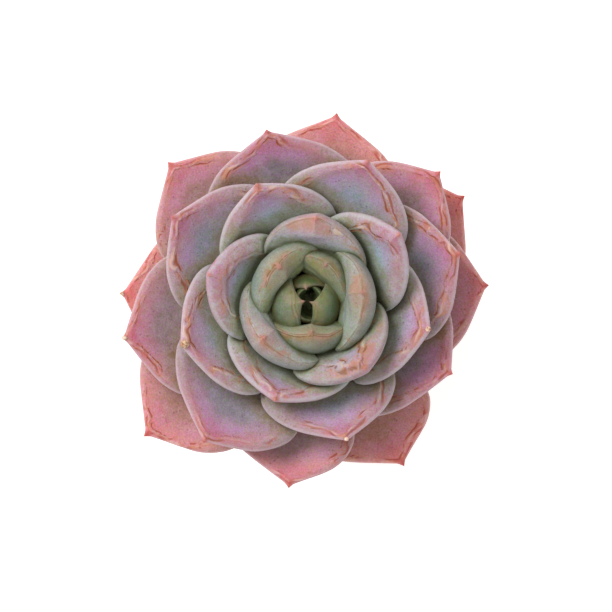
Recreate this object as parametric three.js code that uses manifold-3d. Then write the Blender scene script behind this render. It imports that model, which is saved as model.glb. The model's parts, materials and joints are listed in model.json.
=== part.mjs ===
// Potted echeveria: a rosette of 33 thick leaves on a short stem, in a plain clay pot.
// Sizes are in millimetres. +Z is up, and the pot stands on z = 0, about the Z axis.

import * as THREE from "three";
import Module from "manifold-3d";

const wasm = await Module();
wasm.setup();
const { Manifold } = wasm;

// The pot

const POT_HEIGHT = 56;
const POT_RIM_RADIUS = 33;
const POT_BASE_RADIUS = 22.5;
const POT_WALL = 3.5;
const POT_FLOOR = 4;
const RIM_HEIGHT = 11;
const RIM_STEP = 1.8;
const RIM_TAPER = 0.5;
const DRAIN_RADIUS = 4;
// Worn edges
const CHAMFER = 0.9;
const POT_SIDES = 48;

// The soil and the stem

const SOIL_TOP = 50;
const SOIL_SIDES = 32;
// Rings of the soil's top, in shares of its radius, and its lumps: height and width
const SOIL_RINGS = [0.9, 0.7, 0.5, 0.3];
const LUMP_HEIGHT = 0.6;
const LUMP_WIDTH = 12;
// The stem's foot in the soil, its place in the soil's top, and its neck below the leaves
const STEM_FOOT = 16;
const STEM_FOOT_RADIUS = 2.2;
const STEM_SOIL_RADIUS = 4.5;
const STEM_NECK = 59;
const STEM_NECK_RADIUS = 5.5;
// Leaves at whose joints the stem changes its taper
const STEM_JOINTS = [1, 16, 24, 28, 33];
const STEM_SIDES = 20;

// The gap that touching pieces keep
const GAP = 0.3;
// Edges shorter than this are left out of a cut solid
const SLIVER = 0.05;

// The rosette: its axis stands a little off the pot's, as the plant has grown
const CROWN_X = 1.1;
const CROWN_Y = -0.8;
const LEAF_COUNT = 33;

// Values that change from the oldest leaf (1) to the youngest (33), as [leaf, value] stops

// Height on the stem where a leaf is joined
const ROOT_HEIGHT = [[1, 67.5], [25, 83], [33, 86]];
// Distance of that joint from the rosette's axis
const ROOT_RADIUS = [[1, 7], [16, 6], [28, 4], [33, 2.6]];
// How far inside the stem's skin a leaf's root starts
const ROOT_SUNK = 0.8;
// Degrees above level in which a leaf leaves the stem
const ROOT_ANGLE = [[1, -18], [8, -6], [16, 10], [22, 27], [24, 32], [26, 42], [28, 48], [33, 56]];
// Degrees that half a leaf's width wraps round the leaves inside it
const WRAP = [[1, 13], [8, 17], [16, 24], [20, 30], [22, 38], [24, 46], [26, 52], [28, 54], [33, 56]];
// How far the face stands above the level of the leaf's edge, and the back below it
const FACE_RISE = [[1, 1.6], [8, 1.8], [18, 2.4], [22, 2.8], [25, 4], [28, 4], [30, 3], [33, 1.4]];
const BACK_DEPTH = [[1, 3], [22, 3], [25, 3.8], [28, 4.2], [31, 3.2], [33, 2]];
// Width of the bevel between edge and face, along the sides and at the tip
const BEVEL = [[1, 1.4], [8, 1.8], [13, 3], [22, 3.4], [23, 4], [25, 10], [28, 10], [33, 5]];
const TIP_BEVEL = [[1, 0.8], [14, 1.2], [21, 1.6], [24, 2.8], [33, 2.5]];
// Share of the face's rise that is left at the tip
const TIP_RISE = [[1, 0.45], [16, 0.5], [21, 0.65], [24, 1], [33, 1]];
// From 0, a flat face inside a bevel, to 1, a face that is one dome
const FOLDED = [[1, 0], [22, 0], [25, 1], [33, 1]];
// Share of the length at which a leaf is widest, and how square its shoulders are
const WIDEST = [[1, 0.61], [12, 0.59], [20, 0.5], [33, 0.48]];
const SHOULDER = [[1, 2], [20, 2.1], [26, 2.6], [33, 2.6]];

// Each leaf as measured on the photograph, oldest first: direction in degrees, length,
// degrees above level at the tip, half width, and how far the tip leans to its left
const LEAVES = [
  [32, 41, 18, 17.4, 2],
  [173.5, 40.5, 20, 17.8, 3],
  [294.5, 40.5, 22, 17.2, 5],
  [79, 41.5, 24, 17.8, 2],
  [217.5, 46.5, 26, 17.8, 1.5],
  [5, 39, 28, 17.6, 0.5],
  [136, 43.5, 30, 17.8, -1],
  [256, 40, 32, 18.2, 6.5],
  [43, 41, 35, 16.2, 1.5],
  [189.5, 42, 37, 18.4, 1],
  [329.5, 35, 40, 17.8, 3],
  [103.5, 40, 42, 19.4, 0],
  [229, 39.5, 45, 19, 3],
  [18, 36.5, 47, 18.2, 0],
  [147.5, 37.5, 50, 18.4, 0],
  [282.5, 33, 52, 17.4, 2],
  [69, 37.5, 55, 17.2, -1.2],
  [200, 32.5, 57, 17.6, -1],
  [344.8, 31, 60, 16.8, 1.5],
  [113.5, 33.5, 62, 15.8, 0],
  [251.2, 27, 67, 16.8, 0],
  [36.5, 33, 73, 14.4, 0.2],
  [164, 30, 72.6, 14.4, 0],
  [308.8, 27.2, 81.7, 14.8, 1],
  [80, 27.8, 80.4, 13.8, 1.8],
  [220, 24.8, 103.8, 14.4, -0.4],
  [2.5, 24.6, 101.9, 13.8, 2.1],
  [142, 23.1, 108.8, 13, -2.7],
  [269.3, 19.8, 126.1, 12, 1],
  [48.6, 19.3, 100.2, 10.4, 3],
  [192, 17.5, 151.4, 9.4, -1.2],
  [340, 15.7, 130.9, 8, 0.7],
  [98, 13.4, 119.7, 6.2, 0],
];

// The heart: three leaves too young to count, grown together at the stem's end
const HEART = [
  [235, 11, 118, 4.6, 0],
  [12, 9.5, 122, 3.8, 0],
  [150, 8, 126, 3, 0],
];
const HEART_HEIGHT = 87.5;
const HEART_RADIUS = 1.2;
// Depth of the first one's back, how much less deep each next one is, and their faces' rise
const HEART_BACK = 1.2;
const HEART_THINNING = 0.2;
const HEART_RISE = 0.9;

// A leaf's own form, in shares of its length and half width

const STATIONS = [0, 0.15, 0.3, 0.44, 0.56, 0.67, 0.77, 0.86, 0.93, 0.98];
const MIDRIB_STEPS = 60;
const OUTLINE_STEPS = 60;
const ROOT_WIDTH = 0.3;
const ROOT_TAPER = 1.6;
// Just before the tip the outline is drawn in by this share
const DRAWN_IN = 0.22;
const DRAWN_FROM = 0.82;
// The midrib bends little near the root and most near the tip
const CURL = 1.5;
// Thickness is full from here on
const ROOT_THICKNESS = 0.6;
const FULL_FROM = 0.5;
// The bevel and the face's rise change from here towards the tip
const TIP_FROM = 0.55;
const TIP_BEVEL_FULL = 0.95;
// The bevel starts steep at the edge and meets the face at a soft ridge
const BEVEL_POWER = 0.65;
const BEVEL_SLOPE = 0.35;
// Share of the half width over which the back swells
const BACK_SHARE = 0.8;
// A leaf is almost flat at the root and fully cupped from here on
const CUPPED_FROM = 0.5;
const LEAST_CUP = 0.02;
// Length of the small hard point at the tip
const POINT_LENGTH = 0.8;

// Half of a cross-section from the middle of the face, round the edge, to near the keel:
// [share of half width, whether on the face]
const HALF_SECTION = [
  [0.5, true],
  [0.84, true],
  [1, true],
  [0.85, false],
  [0.5, false],
];
const SECTION = [
  [0, true],
  ...HALF_SECTION,
  [0, false],
  ...HALF_SECTION.map(([side, face]) => [-side, face]).reverse(),
];

const rad = THREE.MathUtils.degToRad;
const lerp = THREE.MathUtils.lerp;
const clamp = THREE.MathUtils.clamp;
const smoothstep = THREE.MathUtils.smoothstep;

// The value at a leaf between two stops
function between(stops, leaf) {
  const last = stops.findIndex(([n]) => n >= leaf);
  if (last <= 0) return stops[0][1];
  const [n0, v0] = stops[last - 1];
  const [n1, v1] = stops[last];
  return lerp(v0, v1, (leaf - n0) / (n1 - n0));
}

// Width along a leaf: a narrow root, a widest place and two rounded shoulders to a point
function widthShare(leaf, t) {
  const { widest, shoulder } = leaf;
  const rise = Math.sin(Math.min(1, t / widest) * (Math.PI / 2)) ** ROOT_TAPER;
  const fall = 1 - Math.max(0, (t - widest) / (1 - widest)) ** shoulder;
  const outline = t < widest ? lerp(ROOT_WIDTH, 1, rise) : fall;
  return outline * (1 - DRAWN_IN * smoothstep(t, DRAWN_FROM, 1));
}

// Thickness along a leaf: thinner at the root and full by mid length
function thicknessShare(t) {
  const swell = Math.sin(Math.min(1, t / FULL_FROM) * (Math.PI / 2));
  return lerp(ROOT_THICKNESS, 1, swell);
}

// How far a place of the flattened leaf lies in from the leaf's outline
function insideOutline(leaf, t, across) {
  const room = leaf.halfWidth * widthShare(leaf, t) - Math.abs(across);
  if (room < 1e-6) return 0;
  let nearest = Infinity;
  for (let i = 0; i <= OUTLINE_STEPS; i++) {
    const station = i / OUTLINE_STEPS;
    const along = (t - station) * leaf.length;
    const aside = Math.abs(across) - leaf.halfWidth * widthShare(leaf, station);
    nearest = Math.min(nearest, Math.hypot(along, aside));
  }
  return nearest;
}

// Height of the face above the level of the edge
function faceHeight(leaf, t, inside) {
  const width = lerp(leaf.bevel, leaf.tipBevel, smoothstep(t, TIP_FROM, TIP_BEVEL_FULL));
  const u = Math.min(1, inside / width);
  const bevelled = u ** BEVEL_POWER * (1 + BEVEL_SLOPE - BEVEL_SLOPE * u);
  const domed = u * (2 - u);
  const rise = leaf.faceRise * lerp(1, leaf.tipRise, smoothstep(t, TIP_FROM, 1));
  return rise * thicknessShare(t) * lerp(bevelled, domed, leaf.folded);
}

// Depth of the back below the level of the edge
function backDepth(leaf, t, inside) {
  const u = Math.min(1, inside / (BACK_SHARE * leaf.halfWidth));
  return leaf.backDepth * thicknessShare(t) * Math.sqrt(1 - (1 - u) ** 2);
}

// Points and slopes along a midrib that starts at one angle and bends evenly to another
function midrib({ rootRadius, rootHeight, rootAngle, tipAngle, length }) {
  const slope = (t) => rad(lerp(rootAngle, tipAngle, t ** CURL));
  const points = [{ out: rootRadius, up: rootHeight }];
  const step = length / MIDRIB_STEPS;
  for (let i = 0; i < MIDRIB_STEPS; i++) {
    const angle = slope((i + 0.5) / MIDRIB_STEPS);
    const { out, up } = points[i];
    points.push({ out: out + Math.cos(angle) * step, up: up + Math.sin(angle) * step });
  }
  return (t) => {
    const i = Math.min(MIDRIB_STEPS - 1, Math.floor(t * MIDRIB_STEPS));
    const share = t * MIDRIB_STEPS - i;
    return {
      out: lerp(points[i].out, points[i + 1].out, share),
      up: lerp(points[i].up, points[i + 1].up, share),
      slope: slope(t),
    };
  };
}

// The leaf's directions at one place: outwards, to its left, and square to its top face
function frameAt(leaf, place) {
  const azimuth = rad(leaf.azimuth);
  const outwards = new THREE.Vector3(Math.cos(azimuth), Math.sin(azimuth), 0);
  const left = new THREE.Vector3(-Math.sin(azimuth), Math.cos(azimuth), 0);
  const face = outwards.clone().multiplyScalar(-Math.sin(place.slope));
  face.z = Math.cos(place.slope);
  const centre = outwards.clone().multiplyScalar(place.out);
  centre.z = place.up;
  return { outwards, left, face, centre };
}

// One cross-section: face and back are bent round an arc, so that the leaf is cupped
function sectionRing(leaf, along, t) {
  const { left, face, centre } = frameAt(leaf, along(t));
  const halfWidth = leaf.halfWidth * widthShare(leaf, t);
  const cup = clamp(t / CUPPED_FROM, LEAST_CUP, 1);
  const arcRadius = leaf.halfWidth / rad(leaf.wrap * cup);
  centre.addScaledVector(left, leaf.lean * t ** 3);
  return SECTION.map(([side, onFace]) => {
    const across = side * halfWidth;
    const inside = insideOutline(leaf, t, across);
    const depth = onFace ? -faceHeight(leaf, t, inside) : backDepth(leaf, t, inside);
    const turn = across / arcRadius;
    const radius = arcRadius + depth;
    return centre.clone()
      .addScaledVector(left, radius * Math.sin(turn))
      .addScaledVector(face, arcRadius - radius * Math.cos(turn));
  });
}

// The end of the leaf's point, just past the last cross-section
function leafPoint(leaf, along) {
  const place = along(1);
  const { outwards, left, centre } = frameAt(leaf, place);
  const onwards = outwards.clone().multiplyScalar(Math.cos(place.slope));
  onwards.z = Math.sin(place.slope);
  return centre.addScaledVector(left, leaf.lean).addScaledVector(onwards, POINT_LENGTH);
}

// Closed skin over the rings, with a fan at the root and one at the tip
function closedSkin(rings, rootCentre, tip) {
  const around = rings[0].length;
  const points = [...rings.flat(), rootCentre, tip];
  const rootIndex = points.length - 2;
  const tipIndex = points.length - 1;
  const lastRing = (rings.length - 1) * around;
  const triangles = [];
  for (let k = 0; k < around; k++) {
    const next = (k + 1) % around;
    triangles.push(rootIndex, k, next);
    for (let i = 0; i < rings.length - 1; i++) {
      const near = i * around;
      const far = near + around;
      triangles.push(near + k, far + k, near + next);
      triangles.push(near + next, far + k, far + next);
    }
    triangles.push(lastRing + k, tipIndex, lastRing + next);
  }
  return {
    vertProperties: new Float32Array(points.flatMap((p) => p.toArray())),
    triVerts: new Uint32Array(triangles),
  };
}

// The same skin moved outwards by a gap, to cut room for a neighbour
function grownSkin(skin, gap) {
  const geometry = new THREE.BufferGeometry();
  geometry.setAttribute("position", new THREE.BufferAttribute(skin.vertProperties.slice(), 3));
  geometry.setIndex(new THREE.BufferAttribute(skin.triVerts, 1));
  geometry.computeVertexNormals();
  const normals = geometry.attributes.normal.array;
  const grown = geometry.attributes.position.array.map((value, i) => value + gap * normals[i]);
  return { vertProperties: grown, triVerts: skin.triVerts };
}

const solidOf = (skin) => new Manifold(new wasm.Mesh({ numProp: 3, ...skin }));

function leafSkin(leaf) {
  const along = midrib(leaf);
  const rings = STATIONS.map((t) => sectionRing(leaf, along, t));
  const rootCentre = new THREE.Vector3();
  rings[0].forEach((p) => rootCentre.addScaledVector(p, 1 / rings[0].length));
  return closedSkin(rings, rootCentre, leafPoint(leaf, along));
}

// A numbered leaf: its own measures and the values of its age
function numberedLeaf([azimuth, length, tipAngle, halfWidth, lean], index) {
  const n = index + 1;
  return {
    azimuth, length, tipAngle, halfWidth, lean,
    rootHeight: between(ROOT_HEIGHT, n),
    rootRadius: between(ROOT_RADIUS, n),
    rootAngle: between(ROOT_ANGLE, n),
    wrap: between(WRAP, n),
    faceRise: between(FACE_RISE, n),
    backDepth: between(BACK_DEPTH, n),
    bevel: between(BEVEL, n),
    tipBevel: between(TIP_BEVEL, n),
    tipRise: between(TIP_RISE, n),
    folded: between(FOLDED, n),
    widest: between(WIDEST, n),
    shoulder: between(SHOULDER, n),
  };
}

function heartLeaf([azimuth, length, tipAngle, halfWidth, lean], index) {
  return {
    ...numberedLeaf([azimuth, length, tipAngle, halfWidth, lean], LEAF_COUNT - 1),
    rootHeight: HEART_HEIGHT + index,
    rootRadius: HEART_RADIUS,
    backDepth: HEART_BACK - HEART_THINNING * index,
    faceRise: HEART_RISE,
  };
}

// The largest body of a cut solid, without the slivers and crumbs that a cut leaves
function mainBody(solid) {
  const bodies = solid.simplify(SLIVER).decompose();
  return bodies.reduce((a, b) => (a.volume() > b.volume() ? a : b));
}

// Solid of revolution from [radius, height] points that begin and end on the axis
function turned(profile, segments) {
  const rings = profile.slice(1, -1).map(([radius, z]) => {
    const ring = [];
    for (let k = 0; k < segments; k++) {
      const angle = (-2 * Math.PI * k) / segments;
      ring.push(new THREE.Vector3(radius * Math.cos(angle), radius * Math.sin(angle), z));
    }
    return ring;
  });
  const [, bottom] = profile[0];
  const [, top] = profile.at(-1);
  return closedSkin(rings, new THREE.Vector3(0, 0, bottom), new THREE.Vector3(0, 0, top));
}

// The stem: it widens from its foot in the soil to the oldest leaf, then narrows to the heart.
// The leaves' roots are sunk into it and cut off at its skin.
function stemProfile(extra) {
  const joints = STEM_JOINTS.map((n) => {
    return [between(ROOT_RADIUS, n) + ROOT_SUNK + extra, between(ROOT_HEIGHT, n)];
  });
  return [
    [0, STEM_FOOT - extra],
    [STEM_FOOT_RADIUS + extra, STEM_FOOT - extra],
    [STEM_SOIL_RADIUS + extra, SOIL_TOP],
    [STEM_NECK_RADIUS + extra, STEM_NECK],
    ...joints,
    [HEART_RADIUS + extra, HEART_HEIGHT],
    [0, HEART_HEIGHT + extra],
  ];
}

const rimFoot = POT_HEIGHT - RIM_HEIGHT;

// Outer radius of the pot's body at a height, up to the foot of the rim
function bodyRadius(z) {
  return lerp(POT_BASE_RADIUS, POT_RIM_RADIUS - RIM_STEP, z / rimFoot);
}

// Radius of the pot's inner wall at a height
function wallInside(z) {
  if (z <= rimFoot) return bodyRadius(z) - POT_WALL;
  return lerp(bodyRadius(rimFoot), POT_RIM_RADIUS, (z - rimFoot) / RIM_HEIGHT) - POT_WALL;
}

// The pot: a tapered wall with a plain raised rim, and a drain hole in the floor
function potGeometry() {
  const lip = POT_HEIGHT - CHAMFER;
  const profile = [
    [DRAIN_RADIUS, 0],
    [POT_BASE_RADIUS - CHAMFER, 0],
    [POT_BASE_RADIUS, CHAMFER],
    [bodyRadius(rimFoot), rimFoot],
    [POT_RIM_RADIUS - RIM_TAPER - CHAMFER, rimFoot],
    [POT_RIM_RADIUS - RIM_TAPER, rimFoot + CHAMFER],
    [POT_RIM_RADIUS, lip],
    [POT_RIM_RADIUS - CHAMFER, POT_HEIGHT],
    [wallInside(POT_HEIGHT) + CHAMFER, POT_HEIGHT],
    [wallInside(lip), lip],
    [wallInside(rimFoot), rimFoot],
    [wallInside(POT_FLOOR), POT_FLOOR],
    [DRAIN_RADIUS, POT_FLOOR],
    [DRAIN_RADIUS, 0],
  ];
  const points = profile.map(([radius, z]) => new THREE.Vector2(radius, z));
  return new THREE.LatheGeometry(points, POT_SIDES).rotateX(Math.PI / 2);
}

// Height of the soil's lumpy top
function soilHeight(x, y) {
  const u = (2 * Math.PI * x) / LUMP_WIDTH;
  const v = (2 * Math.PI * y) / LUMP_WIDTH;
  const lumps = Math.sin(u + 1) * Math.cos(0.9 * v) + Math.sin(0.6 * u - 1.2 * v);
  return SOIL_TOP + LUMP_HEIGHT * lumps;
}

// The soil: it fills the pot to below the rim, with a gap to the wall
function soilSkin() {
  const outer = wallInside(SOIL_TOP) - GAP;
  const profile = [
    [0, POT_FLOOR + GAP],
    [wallInside(POT_FLOOR) - GAP, POT_FLOOR + GAP],
    [wallInside(rimFoot) - GAP, rimFoot],
    [outer, SOIL_TOP - 2 * LUMP_HEIGHT],
    ...SOIL_RINGS.map((share) => [outer * share, SOIL_TOP]),
    [0, SOIL_TOP],
  ];
  const skin = turned(profile, SOIL_SIDES);
  const points = skin.vertProperties;
  for (let i = 0; i < points.length; i += 3) {
    if (points[i + 2] === SOIL_TOP) points[i + 2] = soilHeight(points[i], points[i + 1]);
  }
  return skin;
}

// Geometry of a solid, faceted so that each face keeps its own shading
function geometryOf(solid) {
  const { vertProperties, triVerts, numProp } = solid.getMesh();
  const geometry = new THREE.BufferGeometry();
  const positions = new Float32Array(triVerts.length * 3);
  triVerts.forEach((vertex, i) => {
    for (let axis = 0; axis < 3; axis++) {
      positions[3 * i + axis] = vertProperties[vertex * numProp + axis];
    }
  });
  geometry.setAttribute("position", new THREE.BufferAttribute(positions, 3));
  geometry.computeVertexNormals();
  return geometry;
}

const matt = (color, roughness) => {
  return new THREE.MeshStandardMaterial({ color, roughness, metalness: 0 });
};
const potClay = () => matt(0xb4673f, 0.9);
const soilGrit = () => matt(0x3b2f26, 1);
const stemBark = () => matt(0x8a8a5c, 0.8);
const heartGreen = () => matt(0x6f7f58, 0.6);

// Leaf colour from the coral of the oldest, through mauve, to the grey green of the youngest
function leafSkinColour(index) {
  const coral = new THREE.Color(0xd08078);
  const mauve = new THREE.Color(0xb393a0);
  const greyGreen = new THREE.Color(0x9aa88c);
  const age = 1 - index / (LEAF_COUNT - 1);
  const colour = age > 0.5
    ? mauve.clone().lerp(coral, 2 * age - 1)
    : greyGreen.clone().lerp(mauve, 2 * age);
  return matt(colour, 0.55);
}

function named(name, geometry, material) {
  const mesh = new THREE.Mesh(geometry, material);
  mesh.name = name;
  return mesh;
}

// A solid with room cut in it for each of its neighbours
function cutClear(solid, rooms) {
  return mainBody(rooms.reduce((left, room) => left.subtract(room), solid));
}

const roomFor = (skin) => solidOf(grownSkin(skin, GAP));

const stemSkin = turned(stemProfile(0), STEM_SIDES);
const stemRoom = solidOf(turned(stemProfile(GAP), STEM_SIDES));

const heartSkins = HEART.map((row, i) => leafSkin(heartLeaf(row, i)));
const heartSolid = heartSkins.map(solidOf).reduce((a, b) => a.add(b));
const heartRoom = heartSkins.map(roomFor).reduce((a, b) => a.add(b));

// Younger leaves keep their whole form, and each older one is cut clear of them
const leafSkins = LEAVES.map((row, i) => leafSkin(numberedLeaf(row, i)));
const leafRooms = leafSkins.map(roomFor);
const leafSolids = leafSkins.map((skin, i) => {
  return cutClear(solidOf(skin), [stemRoom, heartRoom, ...leafRooms.slice(i + 1)]);
});

const plant = new THREE.Group();
plant.position.set(CROWN_X, CROWN_Y, 0);
leafSolids.forEach((solid, i) => {
  const name = `leaf_${String(i + 1).padStart(2, "0")}`;
  plant.add(named(name, geometryOf(solid), leafSkinColour(i)));
});
plant.add(named("heart", geometryOf(cutClear(heartSolid, [stemRoom])), heartGreen()));
plant.add(named("stem", geometryOf(solidOf(stemSkin)), stemBark()));

// The stem stands in a plain hole in the soil
const soilRoom = stemRoom.translate([CROWN_X, CROWN_Y, 0]);
const soilSolid = cutClear(solidOf(soilSkin()), [soilRoom]);

const pottedEcheveria = new THREE.Group();
pottedEcheveria.add(plant);
pottedEcheveria.add(named("soil", geometryOf(soilSolid), soilGrit()));
pottedEcheveria.add(named("pot", potGeometry(), potClay()));

export default pottedEcheveria;
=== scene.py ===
# %% [markdown]
# # A potted echeveria
#
# An echeveria is a rosette of thick, water-filled leaves. Its skin carries a pale wax, its ridges
# are rubbed bare, and sunlight turns its outer leaves pink and coral. This lesson builds one
# in a small clay pot. The construction model gives every piece its place and size, and each
# piece here is a finer one that keeps that form.

import json
import math
import random

import bmesh
import bpy
import numpy as np
from mathutils import Matrix, Vector
from mathutils.bvhtree import BVHTree


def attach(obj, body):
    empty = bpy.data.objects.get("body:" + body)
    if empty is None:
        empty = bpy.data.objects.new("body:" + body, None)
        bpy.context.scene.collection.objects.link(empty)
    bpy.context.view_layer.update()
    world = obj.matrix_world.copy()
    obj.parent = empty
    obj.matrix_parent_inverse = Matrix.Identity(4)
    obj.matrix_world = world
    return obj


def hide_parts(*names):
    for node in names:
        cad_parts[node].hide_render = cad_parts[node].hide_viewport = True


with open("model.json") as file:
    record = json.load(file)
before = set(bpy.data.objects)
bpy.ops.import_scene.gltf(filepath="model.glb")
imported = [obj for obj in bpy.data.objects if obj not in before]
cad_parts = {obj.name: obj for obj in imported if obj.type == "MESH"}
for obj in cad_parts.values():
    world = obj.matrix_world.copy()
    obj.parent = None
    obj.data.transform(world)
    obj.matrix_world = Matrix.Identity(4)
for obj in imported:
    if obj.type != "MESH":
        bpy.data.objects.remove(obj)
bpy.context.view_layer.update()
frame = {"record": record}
MM = 0.001

# %% [markdown]
# ## The camera
#
# The picture looks straight down on the rosette from far away, so that the leaves show no
# perspective. A long lens, one metre above the middle leaves, does that. The frame's middle lies
# a little beside the rosette's axis.

# %% Camera straight above
CROWN = Vector((1.1, -0.8, 0)) * MM
FRAME_WIDTH = 152.1 * MM
CAMERA_RISE = 1.0
LEAF_LEVEL = 80 * MM
SENSOR = 36.0
FRAME_SHIFT = Vector((-0.5, -0.75, 0)) * MM

bpy.ops.object.camera_add(location=CROWN + FRAME_SHIFT + Vector((0, 0, LEAF_LEVEL + CAMERA_RISE)))
camera = bpy.context.object
camera.data.sensor_width = SENSOR
camera.data.lens = SENSOR * CAMERA_RISE / FRAME_WIDTH
camera.data.clip_end = 20
bpy.context.scene.camera = camera
print("lens in mm:", round(camera.data.lens, 1))

# %% [markdown]
# ## Floor and light
#
# A cut-out on white is lit from all sides. A white sky gives most of the light, one large soft
# lamp above and to the left gives the leaves their shape, and the floor glows faintly, as a light
# table does, so that it stays white under the plant. Three helpers are needed first: one
# that lets go of all objects, one that turns a paint program's colour code into a shader's
# values, and one for plain materials.

# %% Colours and plain materials
def deselect_all():
    bpy.ops.object.select_all(action="DESELECT")


def colour(code):
    """A colour written as in a paint program, turned into the linear values that shaders use."""
    shares = [int(code[i:i + 2], 16) / 255 for i in (1, 3, 5)]
    linear = [v / 12.92 if v <= 0.04045 else ((v + 0.055) / 1.055) ** 2.4 for v in shares]
    return (*linear, 1)


def plain_material(name, base, roughness, glow=0.0):
    material = bpy.data.materials.new(name)
    material.use_nodes = True
    shader = material.node_tree.nodes["Principled BSDF"]
    shader.inputs["Base Color"].default_value = colour(base)
    shader.inputs["Roughness"].default_value = roughness
    shader.inputs["Emission Color"].default_value = colour(base)
    shader.inputs["Emission Strength"].default_value = glow
    return material


print("middle grey as a linear value:", round(colour("#808080")[0], 3))

# %% [markdown]
# ## Floor, sky and lamp
#
# The floor is a plane far wider than the picture, so that its border never shows. The lamp is a
# disc half a metre wide: the larger a lamp looks from the plant, the softer its shadows are.

# %% Floor, sky and lamp
FLOOR_SIZE, FLOOR_GLOW = 8, 0.45
SKY_STRENGTH = 0.8
LAMP_PLACE = Vector((-0.45, 0.35, 0.95))
LAMP_SIZE, LAMP_POWER = 0.5, 9

deselect_all()
bpy.ops.mesh.primitive_plane_add(size=FLOOR_SIZE, location=(0, 0, 0))
floor = bpy.context.object
floor.name = "floor"
floor.data.materials.append(plain_material("pale_table", "#f7f7f7", 0.9, glow=FLOOR_GLOW))

world = bpy.data.worlds.new("white_sky")
world.use_nodes = True
sky = world.node_tree.nodes["Background"].inputs
sky["Color"].default_value = (1, 1, 1, 1)
sky["Strength"].default_value = SKY_STRENGTH
bpy.context.scene.world = world

bpy.ops.object.light_add(type="AREA", location=LAMP_PLACE)
lamp = bpy.context.object
lamp.data.shape = "DISK"
lamp.data.size = LAMP_SIZE
lamp.data.energy = LAMP_POWER
towards_plant = Vector((0, 0, LEAF_LEVEL)) - LAMP_PLACE
lamp.rotation_euler = towards_plant.to_track_quat("-Z", "Y").to_euler()
bpy.context.scene.view_settings.view_transform = "Standard"
print("lamp is", round(towards_plant.length, 2), "m from the leaves")

# %% [markdown]
# ## How a leaf is shaped
#
# A leaf has a narrow root, is widest past its middle and ends in a point. Its midrib starts
# nearly level and curls up, and its sides wrap round the leaves inside it. One formula can hold
# all 33, because only a few measures differ from leaf to leaf: direction, length, the slope at
# the tip, half the width, and how far the tip leans aside. They are the measures of the
# construction model, oldest leaf first, in millimetres and degrees. Only the three youngest
# leaves and the bud are a little longer here, so that they close over the middle.

# %% The leaves' measures
LEAVES = (
    (32, 41, 18, 17.4, 2),
    (173.5, 40.5, 20, 17.8, 3),
    (294.5, 40.5, 22, 17.2, 5),
    (79, 41.5, 24, 17.8, 2),
    (217.5, 46.5, 26, 17.8, 1.5),
    (5, 39, 28, 17.6, 0.5),
    (136, 43.5, 30, 17.8, -1),
    (256, 40, 32, 18.2, 6.5),
    (43, 41, 35, 16.2, 1.5),
    (189.5, 42, 37, 18.4, 1),
    (329.5, 35, 40, 17.8, 3),
    (103.5, 40, 42, 19.4, 0),
    (229, 39.5, 45, 19, 3),
    (18, 36.5, 47, 18.2, 0),
    (147.5, 37.5, 50, 18.4, 0),
    (282.5, 33, 52, 17.4, 2),
    (69, 37.5, 55, 17.2, -1.2),
    (200, 32.5, 57, 17.6, -1),
    (344.8, 31, 60, 16.8, 1.5),
    (113.5, 33.5, 62, 15.8, 0),
    (251.2, 27, 67, 16.8, 0),
    (36.5, 33, 73, 14.4, 0.2),
    (164, 30, 72.6, 14.4, 0),
    (308.8, 27.2, 81.7, 14.8, 1),
    (80, 27.8, 80.4, 13.8, 1.8),
    (220, 24.8, 103.8, 14.4, -0.4),
    (2.5, 24.6, 101.9, 13.8, 2.1),
    (142, 23.1, 108.8, 13, -2.7),
    (269.3, 19.8, 126.1, 12, 1),
    (48.6, 19.3, 100.2, 10.4, 3),
    (192, 18.1, 166.5, 9.4, -0.6),
    (340, 16.4, 166.1, 8.4, 0.4),
    (98, 12.5, 129.2, 6.6, 0),
)
HEART = ((235, 10.4, 106, 5, 0), (12, 9.4, 108, 4.4, 0), (150, 8, 110, 3.6, 0))
HEART_HEIGHT, HEART_RADIUS = 89.0, 1.2
turns = [round(younger[0] - older[0]) % 360 for older, younger in zip(LEAVES[:3], LEAVES[1:4])]
print("degrees from one leaf to the next:", turns)

# %% [markdown]
# ## What changes with age
#
# The other measures change slowly from the oldest leaf to the youngest, so a few stops, each a
# leaf's number with its value, are enough for each of them. A leaf between two stops gets a value
# between theirs. The last two, shoulder and widest, say how full the outline is.

# %% Measures that follow a leaf's age
AGEING = {
    "root_height": ((1, 67.5), (25, 83), (33, 86)),
    "root_radius": ((1, 7), (16, 6), (28, 4), (33, 2.6)),
    "root_angle": (
        (1, -18), (8, -6), (16, 10), (22, 27), (24, 32), (26, 42), (28, 48), (33, 56),
    ),
    "wrap": (
        (1, 13), (8, 17), (16, 24), (20, 30), (22, 38), (24, 46), (26, 52), (28, 54), (33, 56),
    ),
    "face_rise": (
        (1, 1.6), (8, 1.8), (18, 2.4), (22, 2.8), (25, 4), (28, 4), (30, 3), (33, 1.4),
    ),
    "back_depth": ((1, 3), (22, 3), (25, 3.8), (28, 4.2), (31, 3.2), (33, 2)),
    "bevel": ((1, 1.4), (8, 1.8), (13, 3), (22, 3.4), (23, 4), (25, 10), (28, 10), (33, 5)),
    "tip_bevel": ((1, 0.8), (14, 1.2), (21, 1.6), (24, 2.8), (33, 2.5)),
    "tip_rise": ((1, 0.45), (16, 0.5), (21, 0.65), (24, 1), (33, 1)),
    "folded": ((1, 0), (22, 0), (25, 1), (33, 1)),
    "shoulder": ((1, 2), (20, 2.1), (26, 2.6), (33, 2.6)),
    "widest": ((1, 0.61), (12, 0.59), (20, 0.5), (33, 0.48)),
}


def at_age(name, leaf):
    """The value of one measure at a leaf, between two stops."""
    leaves, values = zip(*AGEING[name])
    return float(np.interp(leaf, leaves, values))


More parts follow.
